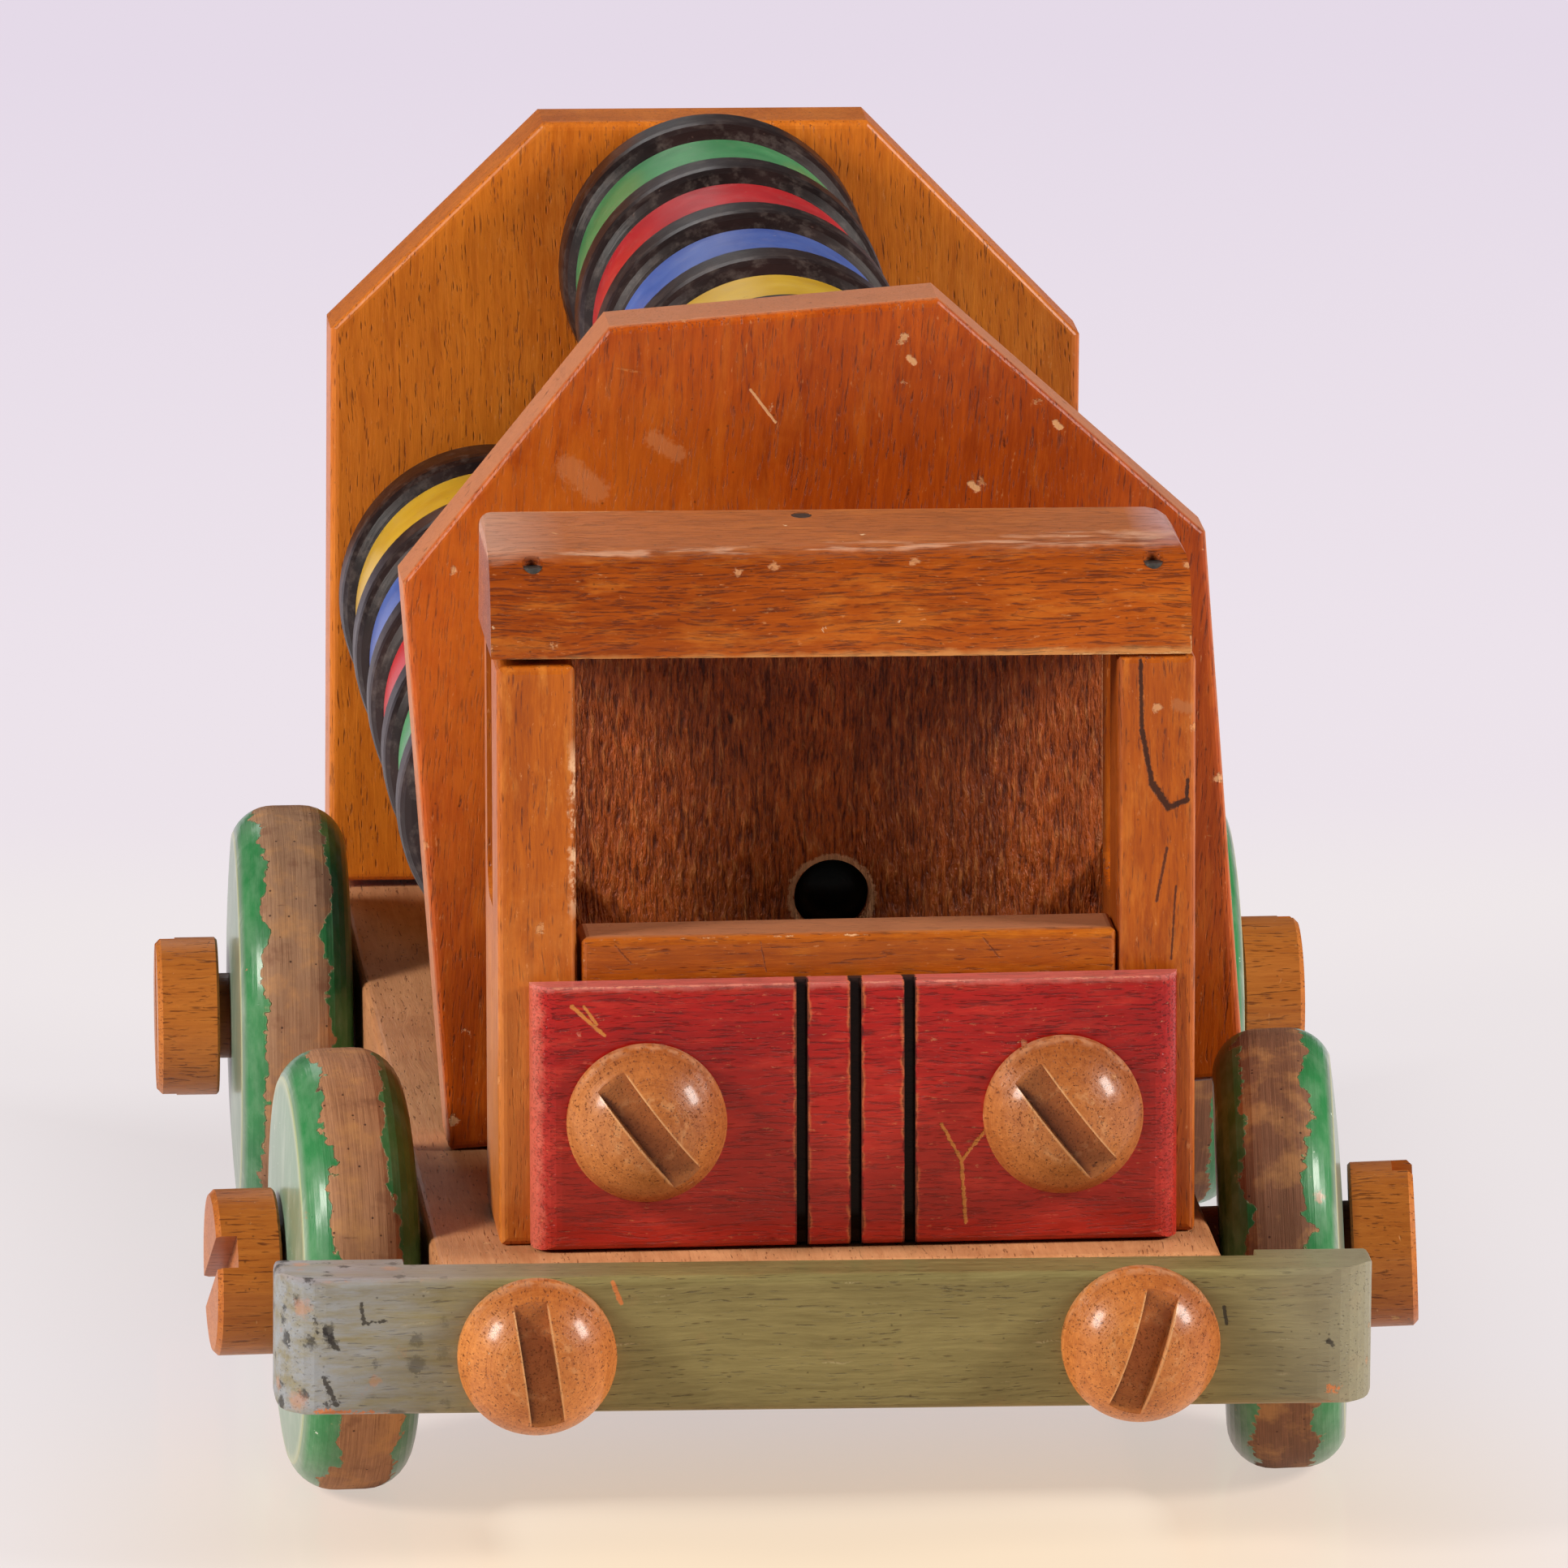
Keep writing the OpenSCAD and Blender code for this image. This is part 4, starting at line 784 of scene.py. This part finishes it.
def axle_place(wires, node):
    """Millimetres from a wheel's middle, X out along its own axle, which is a little askew."""
    joint = next(j for j in frame["record"]["behaviour"]["joints"] if j["child"] == node)
    axis = joint["axis"]
    askew, lean = math.atan2(axis[1], axis[0]), math.asin(-axis[2])
    side = 1 if joint["pos_m"][0] > 0 else -1
    here = wires.add("ShaderNodeTexCoord").outputs["Object"]
    return wires.add("ShaderNodeMapping", {"Vector": here, "Location": tuple(joint["pos_m"]),
                                           "Rotation": (0, lean, askew), "Scale": (MM * side, MM, MM)},
                     vector_type="TEXTURE").outputs[0]


def finish_wheel(node, seed, outer, inner, rag, tread, face, dull):
    """Green gloss paint on a turned wheel, worn off the tread between two ragged edges; dull sets how much painted
    shade darkens its inboard side.
    """
    material, w, shader = start_finish(node.replace("_", " ") + ", green paint")
    place = axle_place(w, node)
    turned = w.group("Turned place", {"Place": place})
    along = turned["Along"]
    shifted = w.steer("ADD", place, (seed, seed, seed))
    inside = w.most(w.minus(along, outer), w.minus(-inner, along))
    paint = w.group("Chipped paint", {"Place": shifted, "Inside": inside, "Rag": rag, "Flakes": 0.0})
    around = w.join(w.times(along, 3.4), *[w.times(p, 2.0) for p in w.parts(turned["Round"])[1:]])
    lines = w.noise(around, 1.6, detail=4, rough=0.7)
    blots = w.noise(shifted, 0.16, detail=4, rough=0.65)
    wood = w.mix(w.fade(lines, 0.3, 0.7), tread[0], tread[1])
    wood = w.mix(w.times(w.fade(blots, 0.5, 0.66), 0.5), wood, dye(206, 150, 92))
    wood = w.mix(w.times(w.fade(blots, 0.44, 0.34), 0.5), wood, dye(120, 78, 58))
    crossed = w.group("Scratches", {"Place": turn_grain(w, shifted, "X"), "Length": 5.0, "Width": 0.22,
                                    "Amount": 0.42})[0]
    wood = w.mix(w.times(crossed, 0.5), wood, dye(96, 60, 42))
    grime = w.group("Grime", {"Place": shifted, "Amount": 0.42})
    wood = w.mix(w.times(grime["Specks"], 0.85), wood, dye(56, 30, 26))
    scuffs = w.group("Nicks", {"Place": shifted, "Spacing": 5.0, "Size": 1.3, "Amount": 0.16, "Seed": seed})
    wood = w.mix(w.times(scuffs["Mask"], 0.75), wood,
                 w.mix(w.fade(scuffs["Tone"], 0.7, 0.75), dye(48, 34, 30), dye(150, 36, 30)))
    # painted shade: the paint darkens on the inboard side of the wheel, as much as dull says
    painted_inboard_shade = w.fade(along, -4.6, -7.6)
    green = w.mix(w.noise(shifted, 0.12, detail=3), dye(30, 102, 54), dye(62, 140, 82))
    green = w.mix(w.times(painted_inboard_shade, dull), green, dye(42, 62, 34))
    dust = w.fade(w.noise(w.stretch(shifted, 0.5, 0.2, 0.2), detail=4, rough=0.6), 0.42, 0.66)
    green = w.mix(w.times(dust, 0.22), green, dye(150, 180, 150))
    on_face = w.fade(along, 6.6, 7.4, soft=True)
    green = w.mix(w.times(on_face, 0.85), green, face)
    crease = w.fade(w.size(w.minus(along, WHEEL_SHOULDER)), 0.16, 0.04)
    green = w.mix(w.times(crease, 0.45), green, dye(206, 200, 146))
    smears = w.noise(w.stretch(shifted, 0.2, 0.25, 0.08), detail=5, rough=0.7)
    green = w.mix(w.times(w.times(w.fade(smears, 0.5, 0.66), on_face), 0.4), green, dye(176, 186, 168))
    rubbed = w.group("Scratches", {"Place": shifted, "Length": 7.0, "Width": 0.24, "Amount": 0.4})[0]
    green = w.mix(w.times(w.times(rubbed, on_face), 0.6), green, dye(70, 84, 70))
    knocks = w.group("Nicks", {"Place": shifted, "Spacing": 7.0, "Size": 1.5, "Amount": 0.3,
                               "Seed": seed + 9})["Mask"]
    green = w.mix(w.times(w.times(knocks, w.fade(turned["Radius"], 19.0, 25.0)), 0.85), green,
                  dye(168, 126, 92))
    colour = w.mix(paint["Paint"], wood, green)
    colour = w.mix(w.times(paint["Lip"], 0.25), colour, dye(196, 176, 130))
    glints = w.group("Nicks", {"Place": shifted, "Spacing": 2.6, "Size": 0.35, "Amount": 0.22,
                               "Seed": seed + 5})["Mask"]
    glints = w.times(glints, w.times(paint["Paint"], w.fade(along, 2.0, 4.0)))
    colour = w.mix(w.times(glints, 0.8), colour, dye(226, 236, 220))
    rough = w.blend(paint["Paint"], 0.68, 0.3)
    height = w.plus(w.times(lines, 0.4), w.times(paint["Paint"], 1.2))
    height = w.minus(height, w.times(crossed, 0.3))
    close_finish(w, shader, colour, rough, height, 0.14, w.times(paint["Paint"], 0.25), 0.14)
    dress(material, node)


def finish_wheels():
    pink = (dye(140, 96, 66), dye(190, 138, 100))
    tan = (dye(136, 100, 74), dye(176, 136, 104))
    brown = (dye(108, 74, 54), dye(148, 102, 76))
    # the last value of each wheel is how much painted shade darkens its inboard side
    finish_wheel("wheel_front_left", 3, 3.6, 4.8, 0.8, brown, dye(122, 132, 120), 0.8)
    finish_wheel("wheel_front_right", 40, 4.0, 5.0, 0.75, pink, dye(122, 146, 122), 0.35)
    finish_wheel("wheel_rear_left", 81, 2.8, 4.4, 0.4, brown, dye(118, 130, 118), 0.6)
    finish_wheel("wheel_rear_right", 123, 4.4, 4.6, 0.6, tan, dye(118, 134, 118), 0.2)


def finish_discs(name, nodes, light, dark, coat=0.25, rough=0.34, nicks=0.2, chip=dye(232, 200, 150)):
    """Painted discs that turn about Y: faint turning lines, scuffs and small chips."""
    material, w, shader = start_finish(name)
    place = piece_place(w)
    broad = w.noise(place, 0.09, detail=4, rough=0.6)
    colour = w.mix(w.fade(broad, 0.3, 0.7), dark, light)
    lines = w.noise(w.stretch(place, 0.12, 2.6, 0.12), detail=3, rough=0.7)
    colour = w.mix(w.times(w.fade(lines, 0.56, 0.7), 0.3), colour, light)
    rubs = w.group("Scratches", {"Place": place, "Length": 5.0, "Width": 0.2, "Amount": 0.25})[0]
    colour = w.mix(w.times(rubs, 0.3), colour, chip)
    found = w.group("Nicks", {"Place": place, "Spacing": 5.0, "Size": 0.6, "Amount": nicks, "Seed": 3.0})
    colour = w.mix(w.times(found["Mask"], 0.7), colour, chip)
    dust = w.fade(w.noise(place, 0.35, detail=5, rough=0.7), 0.5, 0.75)
    colour = w.mix(w.times(dust, 0.12), colour, dye(190, 170, 160))
    height = w.minus(w.times(lines, 0.6), w.plus(found["Mask"], w.times(rubs, 0.4)))
    close_finish(w, shader, colour, w.fade(broad, 0.3, 0.7, rough - 0.06, rough + 0.08), height, 0.06, coat, 0.18)
    dress(material, *nodes)


def finish_rollers():
    def bands(word):
        return [n for n in NODES if word in n]
    finish_discs("black disc paint", bands("black_discs"), dye(42, 24, 22), dye(20, 12, 12), 0.1, 0.42, 0.1,
                 dye(120, 90, 80))
    finish_discs("green disc paint", bands("disc_green"), dye(88, 164, 106), dye(54, 130, 78))
    finish_discs("red disc paint", bands("disc_red"), dye(206, 42, 46), dye(180, 22, 32))
    finish_discs("blue disc paint", bands("disc_blue"), dye(92, 116, 190), dye(58, 84, 166))
    finish_discs("yellow disc paint", bands("disc_yellow"), dye(228, 186, 56), dye(206, 158, 34), nicks=0.3,
                 chip=dye(150, 100, 50))
    material, w, shader = start_finish("rods, bare beech")
    place = piece_place(w)
    colour = w.mix(w.noise(w.stretch(place, 1.0, 0.05, 1.0), 1.0, detail=4), dye(120, 72, 40), dye(158, 100, 58))
    close_finish(w, shader, colour, 0.6, w.noise(place, 1.5), 0.04)
    dress(material, "rod_top", "rod_left", "rod_right")


def finish_small_parts():
    material, w, shader = start_finish("peg end, dark green paint")
    place = piece_place(w)
    close_finish(w, shader, w.mix(w.noise(place, 0.5), dye(8, 14, 12), dye(24, 36, 32)), 0.35,
                 w.noise(place, 1.5), 0.04)
    dress(material, "cab_peg")
    material, w, shader = start_finish("nails, dull steel")
    place = piece_place(w)
    close_finish(w, shader, w.mix(w.noise(place, 1.5, detail=3), dye(48, 46, 44), dye(92, 90, 86)), 0.5,
                 w.noise(place, 2.5), 0.06)
    shader.inputs["Metallic"].default_value = 0.7
    dress(material, "roof_nails", "deck_nails")


# ---- camera, light and floor, in metres

CAMERA_PLACE = (-0.2093, -2.66445, 0.6729)
CAMERA_LENS = 451.9
# Which ways the picture's right and top and the camera's back point
CAMERA_WAYS = ((0.9968, -0.0795, -0.0024), (0.0195, 0.2156, 0.9763), (-0.0771, -0.9732, 0.2164))
SIDE_TINT = (1.0, 0.96, 0.9)
# Name, place, what it aims at, width and height, power, tint
LAMPS = (("right softbox", (1.1, -0.42, 0.66), (0, -0.03, 0.07), (0.3, 0.44), 19.4, SIDE_TINT),
         ("left softbox", (-1.08, -0.46, 0.66), (0, -0.03, 0.07), (0.3, 0.44), 19.4, SIDE_TINT),
         ("back softbox", (-0.4, 1.9, 1.3), (0, 0.05, 0.07), (0.8, 0.8), 5.0, (1.0, 0.97, 0.97)))
STUDIO_COLOUR, STUDIO_STRENGTH = (0.95, 0.9, 0.92, 1.0), 0.07
FLOOR_REACH = 5.0
# Half the width and length of the ground that the truck shades
FOOTPRINT = (0.075, 0.125)


def set_camera():
    data = bpy.data.cameras.new("photo view")
    data.lens, data.sensor_width, data.sensor_fit = CAMERA_LENS, 36.0, "HORIZONTAL"
    data.clip_start, data.clip_end = 0.1, 30.0
    camera = bpy.data.objects.new("photo view", data)
    turn = Matrix([Vector(way).normalized() for way in CAMERA_WAYS]).transposed()
    camera.matrix_world = Matrix.Translation(CAMERA_PLACE) @ turn.to_4x4()
    bpy.context.scene.collection.objects.link(camera)
    bpy.context.scene.camera = camera


def add_lamp(name, place, aim, size, power, tint):
    data = bpy.data.lights.new(name, "AREA")
    data.shape, data.size, data.size_y = "RECTANGLE", size[0], size[1]
    data.energy, data.color = power, tint
    lamp = bpy.data.objects.new(name, data)
    lamp.location = place
    lamp.rotation_euler = (Vector(aim) - Vector(place)).to_track_quat("-Z", "Y").to_euler()
    bpy.context.scene.collection.objects.link(lamp)


def set_light():
    bpy.context.scene.view_settings.view_transform = "Standard"
    for lamp in LAMPS:
        add_lamp(*lamp)
    world = bpy.data.worlds.new("studio")
    bpy.context.scene.world = world
    world.use_nodes = True
    back = world.node_tree.nodes["Background"]
    back.inputs["Color"].default_value = STUDIO_COLOUR
    back.inputs["Strength"].default_value = STUDIO_STRENGTH


def lay_floor():
    """A pale table, warm in front, that turns to a lavender ground behind the truck."""
    mesh = bpy.data.meshes.new("floor")
    corners = [(x * FLOOR_REACH, y * FLOOR_REACH, 0) for x, y in ((-1, -1), (1, -1), (1, 1), (-1, 1))]
    mesh.from_pydata(corners, [], [(0, 1, 2, 3)])
    floor = bpy.data.objects.new("floor", mesh)
    bpy.context.scene.collection.objects.link(floor)
    material, w, shader = start_finish("floor")
    here = w.add("ShaderNodeTexCoord").outputs["Object"]
    x, y = w.parts(here)[:2]
    warm = w.times(w.fade(y, 0.0, -0.12, soft=True), w.fade(w.size(x), 0.14, 0.02, soft=True))
    warm = w.times(warm, w.fade(y, -0.5, -0.22, soft=True))
    table = w.mix(warm, dye(241, 234, 236), dye(251, 228, 200))
    ground = w.mix(w.fade(y, 0.32, 1.0), dye(238, 229, 236), dye(229, 218, 232))
    shade = w.mix(w.fade(y, 0.26, 0.36, soft=True), table, ground)
    w.feed(shader.inputs["Base Color"], shade)
    shader.inputs["Roughness"].default_value = 0.12
    shader.inputs["Specular IOR Level"].default_value = 0.3
    glow = w.add("ShaderNodeEmission", {"Color": shade, "Strength": 1.0})
    path = w.add("ShaderNodeLightPath").outputs
    seen = w.most(path["Is Camera Ray"], w.most(path["Is Glossy Ray"], path["Is Transmission Ray"]))
    clear = w.most(w.minus(w.size(x), FOOTPRINT[0]), w.minus(w.size(y), FOOTPRINT[1]))
    share = w.blend(w.fade(w.steer("LENGTH", here), 0.14, 0.5, soft=True),
                    w.fade(clear, -0.01, 0.05, 0.66, 0.88, soft=True), 1.0)
    front = w.times(w.fade(y, -0.05, -0.1, 0.0, 0.93, soft=True), w.fade(w.size(x), 0.06, 0.04, soft=True))
    share = w.most(share, front)  # the table is brighter in front, and keeps the shadow beside and behind
    both = w.add("ShaderNodeMixShader", {0: w.times(seen, share), 1: shader.outputs[0], 2: glow.outputs[0]})
    surface = [n for n in material.node_tree.nodes if n.type == "OUTPUT_MATERIAL"][0]
    w.feed(surface.inputs[0], both.outputs[0])
    mesh.materials.append(material)


for make in (make_beech_grain, make_board_edges, make_plate_edges, make_worn_edge, make_nicks, make_scratches,
             make_stroke, make_turned_place, make_chipped_paint, make_grime):
    make()
for finish in (finish_front_plate, finish_rear_plate, finish_left_side, finish_right_side, finish_front_panel,
               finish_back_wall, finish_roof, finish_deck, finish_grille, finish_bumper, finish_screws,
               finish_wheels, finish_rollers, finish_small_parts):
    finish()
set_camera()
set_light()
lay_floor()
